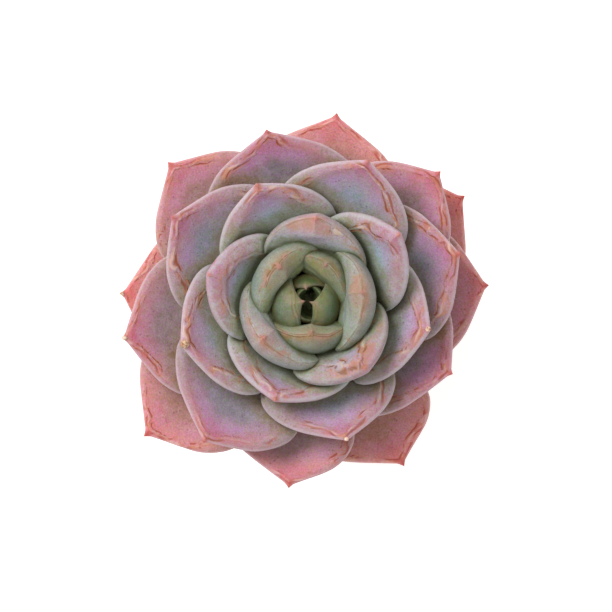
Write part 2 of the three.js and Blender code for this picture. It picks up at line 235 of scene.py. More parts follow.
def leaf_measures(row, number):
    """All measures of one leaf: its own from its row, and those that follow its age."""
    names = ("azimuth", "length", "tip_angle", "half_width", "lean")
    leaf = dict(zip(names, row))
    leaf.update({name: at_age(name, number) for name in AGEING})
    leaf["number"] = number
    return leaf


print("leaf 12 is joined at height", at_age("root_height", 12))

# %% [markdown]
# ## A leaf's outline, thickness and midrib
#
# All three are curves along the leaf, from 0 at the root to 1 at the tip. The outline rises
# softly from the root and closes in two round shoulders. Just before the tip it is drawn in a
# little, which gives the small sharp point.

# %% Curves along a leaf
ROOT_WIDTH, ROOT_TAPER, CURL = 0.3, 1.6, 1.5
ROOT_THICKNESS, FULL_FROM = 0.6, 0.5
DRAWN_IN, DRAWN_FROM = 0.22, 0.82
POINT_LENGTH = 0.78
MIDRIB_STEPS = 60


def smooth(low, high, value):
    """0 below low, 1 above high, and a smooth step between."""
    x = np.clip((value - low) / (high - low), 0, 1)
    return x * x * (3 - 2 * x)


def width_share(t, leaf):
    widest = leaf["widest"]
    rise = np.sin(np.clip(t / widest, 0, 1) * math.pi / 2) ** ROOT_TAPER
    fall = 1 - np.clip((t - widest) / (1 - widest), 0, 1) ** leaf["shoulder"]
    outline = np.where(t < widest, ROOT_WIDTH + (1 - ROOT_WIDTH) * rise, fall)
    return outline * (1 - DRAWN_IN * smooth(DRAWN_FROM, 1, t))


def thickness_share(t):
    swell = np.sin(np.clip(t / FULL_FROM, 0, 1) * math.pi / 2)
    return ROOT_THICKNESS + (1 - ROOT_THICKNESS) * swell


def midrib(leaf, t):
    """How far out and up the midrib is at each share t of its length, and its slope there."""
    bend = leaf["tip_angle"] - leaf["root_angle"]

    def slope(share):
        return np.radians(leaf["root_angle"] + bend * share ** CURL)

    middles = (np.arange(MIDRIB_STEPS) + 0.5) / MIDRIB_STEPS
    step = leaf["length"] / MIDRIB_STEPS
    out = leaf["root_radius"] + np.concatenate(([0], np.cumsum(np.cos(slope(middles)) * step)))
    up = leaf["root_height"] + np.concatenate(([0], np.cumsum(np.sin(slope(middles)) * step)))
    stations = np.linspace(0, 1, MIDRIB_STEPS + 1)
    return np.interp(t, stations, out), np.interp(t, stations, up), slope(t)


sample = leaf_measures(LEAVES[11], 12)
sample_width = 2 * sample["half_width"] * float(width_share(np.array(0.6), sample))
print("leaf 12 is", round(sample_width, 1), "mm wide where it is widest")

# %% [markdown]
# ## A leaf's plump edges
#
# A leaf is a cushion. Its sharpest line is the edge, and how far the skin stands above or below
# that edge depends on how far in from it a point lies. On the face the skin climbs a blunt bevel,
# turns over a soft ridge and runs on almost flat. On the back it swells like half an ellipse. The
# distance is measured to the nearest place of the outline, so the bevel goes round the tip too.

# %% Distance to the outline, face and back
OUTLINE_STEPS = 60
TIP_FROM = 0.55


def from_outline(t, across, leaf):
    """Distance in millimetres from points in the flattened leaf to its outline."""
    stations = np.linspace(0, 1, OUTLINE_STEPS + 1)
    half_widths = leaf["half_width"] * width_share(stations, leaf)
    corners = np.stack((stations * leaf["length"], half_widths), axis=1)
    points = np.stack((t * leaf["length"], np.abs(across)), axis=1)
    nearest = np.full(len(points), np.inf)
    for start, end in zip(corners[:-1], corners[1:]):
        side = end - start
        share = np.clip((points - start) @ side / (side @ side), 0, 1)
        away = points - start - share[:, None] * side
        nearest = np.minimum(nearest, np.linalg.norm(away, axis=1))
    on_outline = np.abs(across) >= leaf["half_width"] * width_share(t, leaf) - 1e-6
    return np.where(on_outline, 0, nearest)


def bevel_width(t, leaf):
    return leaf["bevel"] + (leaf["tip_bevel"] - leaf["bevel"]) * smooth(TIP_FROM, 0.95, t)


def face_height(distance, t, leaf):
    """How far the face stands above the level of the edge."""
    u = np.clip(distance / bevel_width(t, leaf), 0, 1)
    bevelled = u ** 0.65 * (1.35 - 0.35 * u)
    domed = u * (2 - u)
    towards_tip = 1 - (1 - leaf["tip_rise"]) * smooth(TIP_FROM, 1, t)
    rise = leaf["face_rise"] * thickness_share(t) * towards_tip
    return rise * (bevelled + leaf["folded"] * (domed - bevelled))


def back_depth(distance, t, leaf):
    u = np.clip(distance / (0.8 * leaf["half_width"]), 0, 1)
    return leaf["back_depth"] * thickness_share(t) * np.sqrt(1 - (1 - u) ** 2)


sample_thickness = float(face_height(10, 0.5, sample) + back_depth(10, 0.5, sample))
print("leaf 12 is", round(sample_thickness, 1), "mm thick, 10 mm in from its edge")

# %% [markdown]
# ## The blank
#
# Every leaf starts as the same ball. Its lower pole becomes the root and its upper pole the
# tip, so the skin is closed at both ends. One half of its columns becomes the face and the other
# the back. The rings crowd towards the tip, where the form is finest. The ball is modelled once,
# and each leaf is a copy with its own mesh.

# %% Ball for all leaves
COLUMNS = 72
RINGS = 60
TIPWARD = 0.5

deselect_all()
bpy.ops.mesh.primitive_uv_sphere_add(segments=COLUMNS, ring_count=RINGS, radius=1)
blank = bpy.context.object
blank.name = "leaf_blank"
bpy.ops.object.shade_smooth()
ball = np.array([v.co for v in blank.data.vertices])


def ball_shares():
    """For each point of the ball: share of the way to the tip, share across, and face or back."""
    pole = np.arccos(np.clip(-ball[:, 2], -1, 1)) / math.pi
    along = (1 - TIPWARD) * pole + TIPWARD * np.sin(pole * math.pi / 2)
    turn = np.arctan2(ball[:, 1], ball[:, 0])
    across = 0.35 * (1 - 2 * np.abs(turn) / math.pi) + 0.65 * np.cos(turn)
    return along, across, turn


ALONG, ACROSS, TURN = ball_shares()
ON_FACE = np.sin(TURN) > 1e-4
print("blank has", len(blank.data.vertices), "points")

# %% [markdown]
# ## From blank to leaf
#
# Bending a body along one curve and cupping it round another at the same time is more than a bend
# modifier can do, so each point of the copy is carried to its place by the formulas above. No
# leaf is perfect: the ridge wanders, the edge waves a little, and the two sides differ. Slow
# waves with phases drawn from a seeded generator give each leaf its own faults.

# %% Place of every point
EDGE_WAVE, BEVEL_WAVE = 0.012, 0.16
CUPPED_FROM, LEAST_CUP = 0.5, 0.02


def waves(x, phases):
    """A slow irregular wave between about -1 and 1."""
    return sum(np.sin((k + 1) * 3.1 * x + phase) / (k + 1) for k, phase in enumerate(phases)) / 1.6


def leaf_points(leaf, draw):
    """Place of every point of the blank on this leaf in millimetres, and how far in it lies."""
    t, share = ALONG, ACROSS
    phases = [[draw.uniform(0, 2 * math.pi) for _ in range(4)] for _ in range(4)]
    edge_wave = np.where(share > 0, waves(t * 2, phases[0]), waves(t * 2, phases[1]))
    bevel_wave = np.where(share > 0, waves(t * 4, phases[2]), waves(t * 4, phases[3]))
    flat = share * leaf["half_width"] * width_share(t, leaf)
    inward = from_outline(t, flat, leaf)
    on_face = face_height(inward * (1 + BEVEL_WAVE * bevel_wave), t, leaf)
    depth = np.where(ON_FACE, -on_face, back_depth(inward, t, leaf))
    cup = np.clip(t / CUPPED_FROM, LEAST_CUP, 1)
    arc = leaf["half_width"] / np.radians(leaf["wrap"] * cup)
    turn = flat * (1 + EDGE_WAVE * edge_wave) / arc
    radius = arc + depth
    across, rise = radius * np.sin(turn), arc - radius * np.cos(turn)
    out, up, slope = midrib(leaf, t)
    across = across + leaf["lean"] * t ** 3
    point = smooth(0.985, 1, t)
    out = out - rise * np.sin(slope) + point * POINT_LENGTH * np.cos(slope)
    up = up + rise * np.cos(slope) + point * POINT_LENGTH * np.sin(slope)
    angle = math.radians(leaf["azimuth"])
    x = out * math.cos(angle) - across * math.sin(angle)
    y = out * math.sin(angle) + across * math.cos(angle)
    return np.stack((x, y, up), axis=1) + np.array(CROWN) / MM, inward


sample_points = leaf_points(sample, random.Random(1))[0]
print("leaf 12 rises to", round(float(sample_points[:, 2].max()), 1), "mm above the floor")

# %% [markdown]
# ## A copy for each leaf
#
# Copies that share one mesh would all change together, so each gets a mesh of its own. The place
# of a leaf is in its mesh, and its object stays at the origin, so that the patterns of the
# materials, which are laid out from the object's origin, differ from leaf to leaf.

# %% Copy the blank and shape it
def copy_of_blank(name):
    piece = bpy.data.objects.new(name, blank.data.copy())
    piece.data.name = name
    bpy.context.scene.collection.objects.link(piece)
    return piece


def shape_leaf(name, leaf, draw):
    piece = copy_of_blank(name)
    points, inward = leaf_points(leaf, draw)
    piece.data.vertices.foreach_set("co", (points * MM).ravel())
    piece.data.update()
    return piece, points, inward


print("each leaf has", len(blank.data.polygons), "faces")

# %% [markdown]
# ## Marks that follow the surface
#
# The skin's colours follow the leaf's own form: the ridge, the edge, the tip. A shader can't find
# those by itself, so each point keeps how far it is, in millimetres, from the ridge line, from
# the blunt edge and from the tip, and how far along the leaf it lies. The ridge and edge
# distances are negative towards the middle of the face and grow towards the underside.

# %% Distances kept on each point
RIDGE_TO_BACK = 4


def store(piece, name, values):
    attribute = piece.data.attributes.new(name, "FLOAT", "POINT")
    attribute.data.foreach_set("value", np.asarray(values, dtype=np.float32))


def keep_distances(piece, leaf, points, inward):
    side = np.where(ON_FACE, -1, 1)
    face, back = bevel_width(ALONG, leaf) - inward, RIDGE_TO_BACK + inward
    store(piece, "from_ridge", np.where(ON_FACE, face, back))
    store(piece, "from_edge", side * inward)
    store(piece, "from_tip", np.linalg.norm(points - points[np.argmax(ALONG)], axis=1))
    store(piece, "along", ALONG * leaf["length"])


print("share of the points on the face:", round(float(np.mean(ON_FACE)), 2))

# %% [markdown]
# ## Soft dents
#
# A leaf swells and shrinks with its water, so its skin is never as even as a formula. A cloud
# texture pushes it in and out, by a third of a millimetre in all. A vertex group lets that fade
# towards the root and the tip, where it would spoil the thin forms.

# %% Roughen a leaf
SEED = 7
DENT, DENT_SIZE = 0.35 * MM, 9 * MM
draw = random.Random(SEED)
dents = bpy.data.textures.new("dents", "CLOUDS")
dents.noise_scale = DENT_SIZE
dents.noise_depth = 2


def roughen(piece):
    group = piece.vertex_groups.new(name="body")
    weights = smooth(0.1, 0.3, ALONG) * (1 - smooth(0.8, 0.97, ALONG))
    for index, weight in enumerate(weights):
        group.add([index], float(weight), "REPLACE")
    modifier = piece.modifiers.new("dents", "DISPLACE")
    modifier.texture = dents
    modifier.texture_coords = "LOCAL"
    modifier.strength = DENT
    modifier.mid_level = 0.5
    modifier.vertex_group = group.name
    deselect_all()
    bpy.context.view_layer.objects.active = piece
    piece.select_set(True)
    bpy.ops.object.modifier_apply(modifier=modifier.name)
    piece.vertex_groups.clear()


print("dents span", round(DENT / MM, 2), "mm and are about", round(DENT_SIZE / MM), "mm wide")

# %% [markdown]
# ## Make all the leaves
#
# Each leaf is shaped, gets its distances and its age, and is roughened. The age is its number, and
# the materials mix their colours by it. The bud's three small leaves are made by the same
# function, and will be joined to one piece, because they have grown together.

# %% Leaves and bud
def make_leaf(name, leaf):
    piece, points, inward = shape_leaf(name, leaf, draw)
    keep_distances(piece, leaf, points, inward)
    store(piece, "age", np.full(len(ALONG), leaf["number"], dtype=np.float32))
    roughen(piece)
    return piece


leaves = []
for number, row in enumerate(LEAVES, start=1):
    leaves.append(make_leaf(f"leaf_skin_{number:02d}", leaf_measures(row, number)))
bud = []
for index, row in enumerate(HEART):
    young = leaf_measures(row, len(LEAVES))
    young.update(root_height=HEART_HEIGHT + index, root_radius=HEART_RADIUS)
    young.update(back_depth=1.2 - 0.2 * index, face_rise=0.9)
    bud.append(make_leaf(f"bud_{index + 1}", young))
print("leaves made:", len(leaves), "and", len(bud), "in the bud")

# %% [markdown]
# ## Where the sun reaches
#
# Sunlight makes the pink. Skin that neighbours shelter stays olive and green, and the same olive
# also stands in for the shade there, as painted shade. Right beside a neighbour it deepens and
# turns brown, both painted shade of the narrow gap. Two measures find those places. Rays go from
# every point to some two dozen places in the sky. The share that nothing stops is the sky that the
# point sees, and the rays that a neighbour stops within a few millimetres say how tucked in it is.
#
# The places in the sky follow each other by the golden angle, as the leaves themselves do, which
# spreads them evenly over the half dome.

# %% Directions to the sky
SKY_RAYS = 26
LOWEST_SKY = 0.12
GOLDEN = math.pi * (3 - math.sqrt(5))


def sky_directions():
    directions = []
    for i in range(SKY_RAYS):
        z = LOWEST_SKY + (1 - LOWEST_SKY) * (i + 0.5) / SKY_RAYS
        level = math.sqrt(1 - z * z)
        directions.append(Vector((level * math.cos(GOLDEN * i), level * math.sin(GOLDEN * i), z)))
    return directions


print("golden angle in degrees:", round(math.degrees(GOLDEN), 1))

# %% [markdown] ## Rays from every point  All leaves go into one search tree, which finds what a
# ray hits without trying every face. A ray starts a quarter of a millimetre above the skin, so
# that it doesn't hit the skin it leaves.

# %% Sky and shelter at each point
RAY_START, RAY_END = 0.25 * MM, 80 * MM
CLOSE = 7 * MM


def search_tree(pieces):
    points, faces = [], []
    for piece in pieces:
        first = len(points)
        points.extend(v.co.copy() for v in piece.data.vertices)
        faces.extend([first + i for i in p.vertices] for p in piece.data.polygons)
    return BVHTree.FromPolygons(points, faces)


def sky_and_shelter(tree, piece):
    directions = sky_directions()
    open_sky = sum(d.z for d in directions)
    sun, tucked = [], []
    for vertex in piece.data.vertices:
        seen, near, total = 0.0, 0.0, 0.001
        start = vertex.co + vertex.normal * RAY_START
        for direction in directions:
            facing = vertex.normal.dot(direction)
            if facing <= 0:
                continue
            total += facing
            distance = tree.ray_cast(start, direction, RAY_END)[3]
            if distance is None:
                seen += facing
            else:
                near += facing * max(0.0, 1 - distance / CLOSE)
        sun.append(min(1.0, seen / open_sky))
        tucked.append(near / total)
    return sun, tucked


def rough_sky_and_shelter(piece):
    upward = [max(0.0, v.normal.z) for v in piece.data.vertices]
    sun = [z * float(smooth(0.2, 0.8, t)) for z, t in zip(upward, ALONG)]
    return sun, [float(1 - smooth(0.3, 0.55, t)) for t in ALONG]


tree = search_tree(leaves + bud)
print("a neighbour is close within", round(CLOSE / MM), "mm")

# %% [markdown]
# ## Soft borders of shade
#
# So few rays give uneven values from point to point. Each value is averaged once with those of
# the points next to it, which takes the unevenness away and keeps the borders.

# %% Keep sky and shelter
def soften(piece, values):
    """Each value averaged with those of its neighbours."""
    mesh = piece.data
    pairs = np.zeros(2 * len(mesh.edges), dtype=int)
    mesh.edges.foreach_get("vertices", pairs)
    one, other = pairs.reshape(-1, 2).T
    values = np.array(values)
    total, count = values.copy(), np.ones(len(values))
    for here, there in ((one, other), (other, one)):
        np.add.at(total, here, values[there])
        np.add.at(count, here, 1)
    return total / count


for piece in leaves + bud:
    sun, tucked = rough_sky_and_shelter(piece) if tree is None else sky_and_shelter(tree, piece)
    store(piece, "sun", soften(piece, sun))
    store(piece, "tucked", soften(piece, tucked))
print("the bud's last leaf sees a share of", round(float(np.mean(sun)), 2), "of the sky")

# %% [markdown]
# ## Lines of wear
#
# Wax is rubbed off where a leaf has touched its neighbours. On the open outer leaves that is the
# ridge. The inner leaves bend inwards and show their backs, so there it is the crest, the line
# where the skin turns from facing outwards to facing inwards. Each point keeps its distance from
# that line, and how strongly its part of the leaf is worn.

# %% Distance to the worn line
INCURVED_FROM, INCURVED_FULL = 22.5, 25.5
CREST_ROUND = 4.5


def read(piece, name):
    values = np.zeros(len(piece.data.vertices), dtype=np.float32)
    piece.data.attributes[name].data.foreach_get("value", values)
    return values


def keep_line(piece, number):
    normals = np.array([v.normal for v in piece.data.vertices])
    places = np.array([v.co for v in piece.data.vertices]) - np.array(CROWN)
    reach = np.linalg.norm(places[:, :2], axis=1) + 1e-6
    outward = (normals[:, :2] * places[:, :2]).sum(axis=1) / reach
    incurved = float(smooth(INCURVED_FROM, INCURVED_FULL, number))
    crest = CREST_ROUND * outward
    store(piece, "line", (1 - incurved) * read(piece, "from_ridge") + incurved * crest)
    upward = smooth(0.2, 0.6, normals[:, 2])
    store(piece, "rubbed", smooth(0.25, 0.5, ALONG) * (1 - incurved + incurved * upward))


for number, piece in enumerate(leaves, start=1):
    keep_line(piece, number)
for piece in bud:
    keep_line(piece, len(LEAVES))
print("leaves worn along their crest start at number", math.ceil(INCURVED_FROM))

# %% [markdown]
# ## Shader helpers
#
# A shader is a graph of small nodes. These helpers add a node, link its inputs and give back its
# output, so that a recipe reads from top to bottom like a calculation. The first ones reckon
# with values and colours.

# %% Reckoning with nodes
class Reckoning:
    """Adds nodes that reckon to one tree, and links them."""

    def __init__(self, tree):
        self.tree = tree

    def link(self, value, socket):
        if isinstance(value, bpy.types.NodeSocket):
            self.tree.links.new(value, socket)
        else:
            socket.default_value = value

    def attribute(self, name):
        node = self.tree.nodes.new("ShaderNodeAttribute")
        node.attribute_name = name
        return node.outputs["Fac"]

    def math(self, operation, a, b=0.0):
        node = self.tree.nodes.new("ShaderNodeMath")
        node.operation = operation
        self.link(a, node.inputs[0])
        self.link(b, node.inputs[1])
        return node.outputs[0]

    def step(self, value, low, high, lowest=0.0, highest=1.0):
        """A smooth step from lowest at low to highest at high."""
        node = self.tree.nodes.new("ShaderNodeMapRange")
        node.interpolation_type = "SMOOTHSTEP"
        for socket, given in zip(node.inputs[:5], (value, low, high, lowest, highest)):
            self.link(given, socket)
        return node.outputs[0]

    def mix(self, share, a, b, blend="MIX"):
        node = self.tree.nodes.new("ShaderNodeMix")
        node.data_type, node.blend_type = "RGBA", blend
        self.link(share, node.inputs[0])
        self.link(a, node.inputs[6])
        self.link(b, node.inputs[7])
        return node.outputs[2]

    def product(self, *masks):
        """All masks multiplied together."""
        result = masks[0]
        for mask in masks[1:]:
            result = self.math("MULTIPLY", result, mask)
        return result

    def centred(self, value, width):
        """A noise value moved to lie about zero and spread to the given width."""
        return self.math("MULTIPLY", self.math("SUBTRACT", value, 0.5), width)


print("ways to reckon:", [name for name in vars(Reckoning) if not name.startswith("_")])

# %% [markdown]
# ## Patterns and recipes
#
# The other helpers fetch places and patterns. A noise can be laid out in space, or in a space of
# its own that is combined from three values, so that it follows a line on the skin. A band is the
# soft strip that lies at a given distance from such a line.

# %% Patterns and recipes
class Recipe(Reckoning):
    """Adds nodes for places and patterns as well."""

    def combine(self, *values):
        node = self.tree.nodes.new("ShaderNodeCombineXYZ")
        for socket, given in zip(node.inputs, values):
            self.link(given, socket)
        return node.outputs[0]

    def band(self, line, shift, inner, outer):
        """A soft strip beside a line, inner and outer being its half widths."""
        away = self.math("ABSOLUTE", self.math("SUBTRACT", line, shift))
        return self.step(away, inner, outer, 1.0, 0.0)

    def place(self):
        return self.tree.nodes.new("ShaderNodeTexCoord").outputs["Object"]

    def stretched(self, vector, scale):
        node = self.tree.nodes.new("ShaderNodeMapping")
        self.link(vector, node.inputs["Vector"])
        node.inputs["Scale"].default_value = scale
        return node.outputs[0]

    def noise(self, vector, scale, detail=2.0, rough=0.5, warp=0.0):
        node = self.tree.nodes.new("ShaderNodeTexNoise")
        inputs = node.inputs
        self.link(vector, inputs["Vector"])
        settings = {"Scale": scale, "Detail": detail, "Roughness": rough, "Distortion": warp}
        for name, given in settings.items():
            self.link(given, inputs[name])
        return node.outputs["Fac"]

    def cells(self, vector, scale):
        node = self.tree.nodes.new("ShaderNodeTexVoronoi")
        self.link(vector, node.inputs["Vector"])
        self.link(scale, node.inputs["Scale"])
        return node.outputs["Distance"]

    def use(self, group, **inputs):
        node = self.tree.nodes.new("ShaderNodeGroup")
        node.node_tree = group
        for name, given in inputs.items():
            self.link(given, node.inputs[name])
        return node.outputs


print("patterns:", [name for name in vars(Recipe) if not name.startswith("_")])

# %% [markdown]
# ## Groups and materials
#
# An effect that several materials share is a node group with named sockets. It is built once and
# takes its own values in each material. The shader itself stays in the material, and so does the
# bump, which turns a height into a tilt of the skin.

# %% New group, new material, bump
KINDS = {"colour": "NodeSocketColor", "value": "NodeSocketFloat"}


def new_group(name, inputs, outputs):
    """An empty shader group with named sockets: its recipe, its inputs and its outputs."""
    tree = bpy.data.node_groups.new(name, "ShaderNodeTree")
    for direction, sockets in (("INPUT", inputs), ("OUTPUT", outputs)):
        for socket, kind in sockets.items():
            tree.interface.new_socket(name=socket, in_out=direction, socket_type=KINDS[kind])
    given = tree.nodes.new("NodeGroupInput").outputs
    result = tree.nodes.new("NodeGroupOutput").inputs
    return Recipe(tree), given, result


def new_material(name):
    material = bpy.data.materials.new(name)
    material.use_nodes = True
    shader = material.node_tree.nodes["Principled BSDF"]
    return material, Recipe(material.node_tree), shader


def add_bump(recipe, shader, height, distance, strength):
    bump = recipe.tree.nodes.new("ShaderNodeBump")
    recipe.link(height, bump.inputs["Height"])
    bump.inputs["Distance"].default_value = distance
    bump.inputs["Strength"].default_value = strength
    recipe.link(bump.outputs["Normal"], shader.inputs["Normal"])


print("kinds of socket:", sorted(KINDS))

# %% [markdown]
# ## Wax and speckles
#
# The wax is a powder of tiny crystals. It lies thicker in some patches than in others and shows a
# grain finer than a millimetre, where violet and green specks lie side by side. Small dark dots
# mark where drops and insects touched it. One group makes all of that from a colour, and every
# leaf material uses it.

# %% Group: wax bloom
def wax_group():
    recipe, given, result = new_group(
        "wax_bloom",
        {"Colour": "colour", "Wax": "colour", "Amount": "value"},
        {"Colour": "colour", "Height": "value"},
    )
    place = recipe.place()
    patches = recipe.noise(place, 420, 4, 0.65, 0.4)
    grain = recipe.noise(place, 2300, 2, 0.8)
    hue = recipe.noise(place, 1500, 2, 0.7)
    cover = recipe.math("MULTIPLY", recipe.step(patches, 0.35, 0.7), given["Amount"])
    waxed = recipe.mix(cover, given["Colour"], given["Wax"])
    specks = recipe.mix(recipe.step(hue, 0.38, 0.62), colour("#9cc07e"), colour("#d09ae0"))
    tinted = recipe.mix(0.32, waxed, specks, "SOFT_LIGHT")
    shade = recipe.math("ADD", 1.0, recipe.centred(grain, 1.0))
    grained = recipe.mix(1.0, tinted, shade, "MULTIPLY")
    spots = recipe.step(recipe.cells(place, 900), 0.12, 0.3, 1.0, 0.0)
    sparse = recipe.step(recipe.noise(place, 500, 1, 0.5), 0.5, 0.62)
    dots = recipe.math("MULTIPLY", recipe.math("MULTIPLY", spots, sparse), 0.5)
    recipe.link(recipe.mix(dots, grained, colour("#6a4450")), result["Colour"])
    recipe.link(recipe.math("ADD", recipe.math("MULTIPLY", patches, 0.6), grain), result["Height"])
    return recipe.tree


WAX = wax_group()
print("the wax group has", len(WAX.nodes), "nodes")

# %% [markdown]
# ## Rubbed skin
#
# The worn line is not even. It wanders to both sides, it fades out for a while and comes back, and
# it is strongest at the tip. It is made of three marks: a scuff, where the bare skin shows ochre
# in patches, thin brown cracks along its two sides, and a thin pale line of raised scar. The
# group gives one mask for each.

# %% Group: rubbed skin
def rubbed_group():
    recipe, given, result = new_group(
        "rubbed_skin",
        dict.fromkeys(("Line", "Along", "From Tip", "Weight", "Age"), "value"),
        dict.fromkeys(("Crack", "Scuff", "Pale"), "value"),
    )
    place = recipe.place()
    wander = recipe.centred(recipe.noise(place, 100, 2, 0.5, 0.2), 6.0)
    line = recipe.math("ADD", given["Line"], wander)
    own = recipe.math("MULTIPLY", recipe.noise(place, 18, 0, 0.5), 60.0)
    length = recipe.math("MULTIPLY", given["Along"], 0.4)
    layout = recipe.combine(line, length, own)
    inner_leaf = recipe.step(given["Age"], 21.0, 26.0)
    near_tip = recipe.step(given["From Tip"], 3.0, 9.0, 1.0, 0.0)
    found = recipe.step(recipe.noise(place, 75, 2, 0.5), 0.46, 0.57)
    shown = recipe.math("MAXIMUM", recipe.math("MAXIMUM", found, near_tip), inner_leaf)
    heart_share = recipe.step(given["Age"], 30.2, 31.0, 1.0, 0.45)
    shown = recipe.product(shown, given["Weight"], heart_share)
    streaks = recipe.noise(layout, 0.9, 4, 0.65, 0.5)
    near_crown = recipe.step(given["From Tip"], 2.0, 11.0, 0.1, -0.06)
    blots = recipe.math("ADD", recipe.noise(place, 300, 4, 0.65, 0.8), near_crown)
    away = recipe.math("SUBTRACT", blots, streaks)
    coarse = recipe.math("ADD", streaks, recipe.math("MULTIPLY", away, inner_leaf))
    other = recipe.noise(layout, 0.6, 3, 0.6, 0.4)
    width = recipe.math("ADD", 1.7, recipe.math("MULTIPLY", inner_leaf, 1.8))
    beside = recipe.band(line, 0.2, 0.5, width)
    scuff = recipe.product(beside, recipe.step(coarse, 0.47, 0.56), shown)
    outside, inside = recipe.band(line, 0.75, 0.08, 0.36), recipe.band(line, -0.55, 0.06, 0.3)
    outer_crack = recipe.product(outside, recipe.step(other, 0.44, 0.54))
    inner_crack = recipe.product(inside, recipe.step(coarse, 0.47, 0.57))
    crack = recipe.product(recipe.math("MAXIMUM", outer_crack, inner_crack), shown)
    on_line = recipe.band(line, 0.1, 0.1, 0.45)
    pale = recipe.product(on_line, recipe.step(other, 0.42, 0.54, 1.0, 0.0), shown)
    recipe.link(crack, result["Crack"])
    recipe.link(scuff, result["Scuff"])
    recipe.link(pale, result["Pale"])
    return recipe.tree


RUBBED = rubbed_group()
print("the rubbed skin group has", len(RUBBED.nodes), "nodes")

# %% [markdown]
# ## Colours of five ages
#
# The colours are given for leaves of five ages: the oldest outside, three between and the
# youngest in the heart. Each row is one part of the skin, such as the face, the blush towards the
# ridge or the crust of a crack, from the oldest leaf to the youngest.

# %% Colours at five ages
AGES = (1, 12, 23, 28, 33)
SHADES = {
    "face": ("#b3765e", "#786c74", "#98b2c0", "#788c80", "#3c5432"),
    "lilac": ("#d08490", "#a87a9e", "#aea2ca", "#8a9258", "#5e6c30"),
    # The skin's own lilac tone, laid in a band where the face turns to the sky as a painted sheen.
    "blush": ("#dc8e86", "#b0747c", "#a68a94", "#7e8468", "#485c30"),
    "bevel": ("#be8280", "#a07278", "#9a7a7a", "#7e7c68", "#486038"),
    "back": ("#b98378", "#a07c80", "#8c8686", "#748478", "#3e5c42"),
    "far": ("#a4704e", "#86847e", "#96a6a0", "#7e9480", "#46603e"),
    "flush": ("#d0524c", "#bc5c76", "#ac6a88", "#a08468", "#66742e"),
    # The green of skin kept from the sun, also used as painted shade where little sky is seen and
    # close under a neighbour.
    "olive": ("#96602a", "#7a643c", "#7e8660", "#606a46", "#44522a"),
    # Painted shade of the deepest gaps beside a neighbour.
    "brown": ("#6a3e14", "#3e3216", "#3c3e20", "#4a4e2c", "#6a6038"),
    "crack": ("#a83830", "#8a4028", "#784426", "#6a4022", "#54401f"),
    "scuff": ("#c8765c", "#b07050", "#a8744a", "#8a6034", "#6e6a2c"),
    "pale": ("#e4b8aa", "#d4b4a8", "#ccbcae", "#c0b494", "#98a078"),
    # Painted highlight along the blunt edge.
    "edge": ("#dcb2b0", "#c2a8b0", "#b4c0c4", "#a8c4c0", "#8eb4a8"),
    "tip": ("#b03630", "#ac5244", "#b06c5c", "#b0786c", "#a07c70"),
    "wax": ("#c89c9c", "#a698a4", "#a4b2ba", "#94a096", "#5c6c54"),
}
print("parts of the skin:", len(SHADES))

# %% [markdown]
# ## The skin a leaf grows
#
# A material covers a run of ages and mixes each part's colours by the age that its leaves carry,
# so no step shows where one material ends and the next begins. The recipe lays one layer over
# another: the face, the blush towards the ridge with a lilac band in it, which is the skin's own
# tone laid as a painted sheen where the face turns to the sky, the bevel, the back, the greyer
# part far from the tip and the flush close to it. Each step's numbers say where it starts and
# ends, in millimetres, and how strong it is there. Noise makes most borders uneven.

# %% Grown skin
def shade_at_age(recipe, part, age, ages):
    """The colour of one part, mixed between the stops of age that this material covers."""
    stops = {stop: colour(SHADES[part][AGES.index(stop)]) for stop in ages}
    mixed = stops[ages[0]]
    for older, younger in zip(ages[:-1], ages[1:]):
        share = recipe.step(age, older, younger)
        share.node.interpolation_type = "LINEAR"
        mixed = recipe.mix(share, mixed, stops[younger])
    return mixed


def grown_skin(recipe, shades, at, uneven):
    """The colours of the living skin, with a band of painted sheen, before shade, wax and wear."""
    soft_line = recipe.math("ADD", at["line"], recipe.math("MULTIPLY", uneven, 4.0))
    skin = recipe.mix(recipe.step(soft_line, -6.5, 0.5), shades["face"], shades["blush"])
    # A lilac band inside the ridge: the skin's own tone, placed where the face turns to the sky as
    # a painted sheen.
    rising = recipe.step(soft_line, -6.0, -3.0)
    lilac = recipe.math("MULTIPLY", rising, recipe.step(soft_line, -2.5, 0.0, 1.0, 0.0))
    in_patches = recipe.step(recipe.noise(recipe.place(), 95, 2, 0.5), 0.42, 0.6, 0.1, 0.75)
    skin = recipe.mix(recipe.math("MULTIPLY", lilac, in_patches), skin, shades["lilac"])
    skin = recipe.mix(recipe.step(at["line"], -0.6, 1.4), skin, shades["bevel"])
    skin = recipe.mix(recipe.step(at["from_edge"], -0.3, 1.8), skin, shades["back"])
    tip = recipe.math("ADD", at["from_tip"], recipe.math("MULTIPLY", uneven, 9.0))
    skin = recipe.mix(recipe.step(tip, 9.0, 24.0, 0.0, 0.55), skin, shades["far"])
    return recipe.mix(recipe.step(tip, 0.0, 11.0, 0.6, 0.0), skin, shades["flush"])


print("ages with colours of their own:", AGES)

# %% [markdown]
# ## Shade and wax
#
# Where neighbours keep the sun off, the skin turns olive, partly its own green and partly painted
# shade, and close beside them the olive deepens as painted shade. The wax lies over that, and a
# painted brown shade in the deepest gaps lies over the wax.

# %% Sheltered skin
WAX_AMOUNT = 0.35


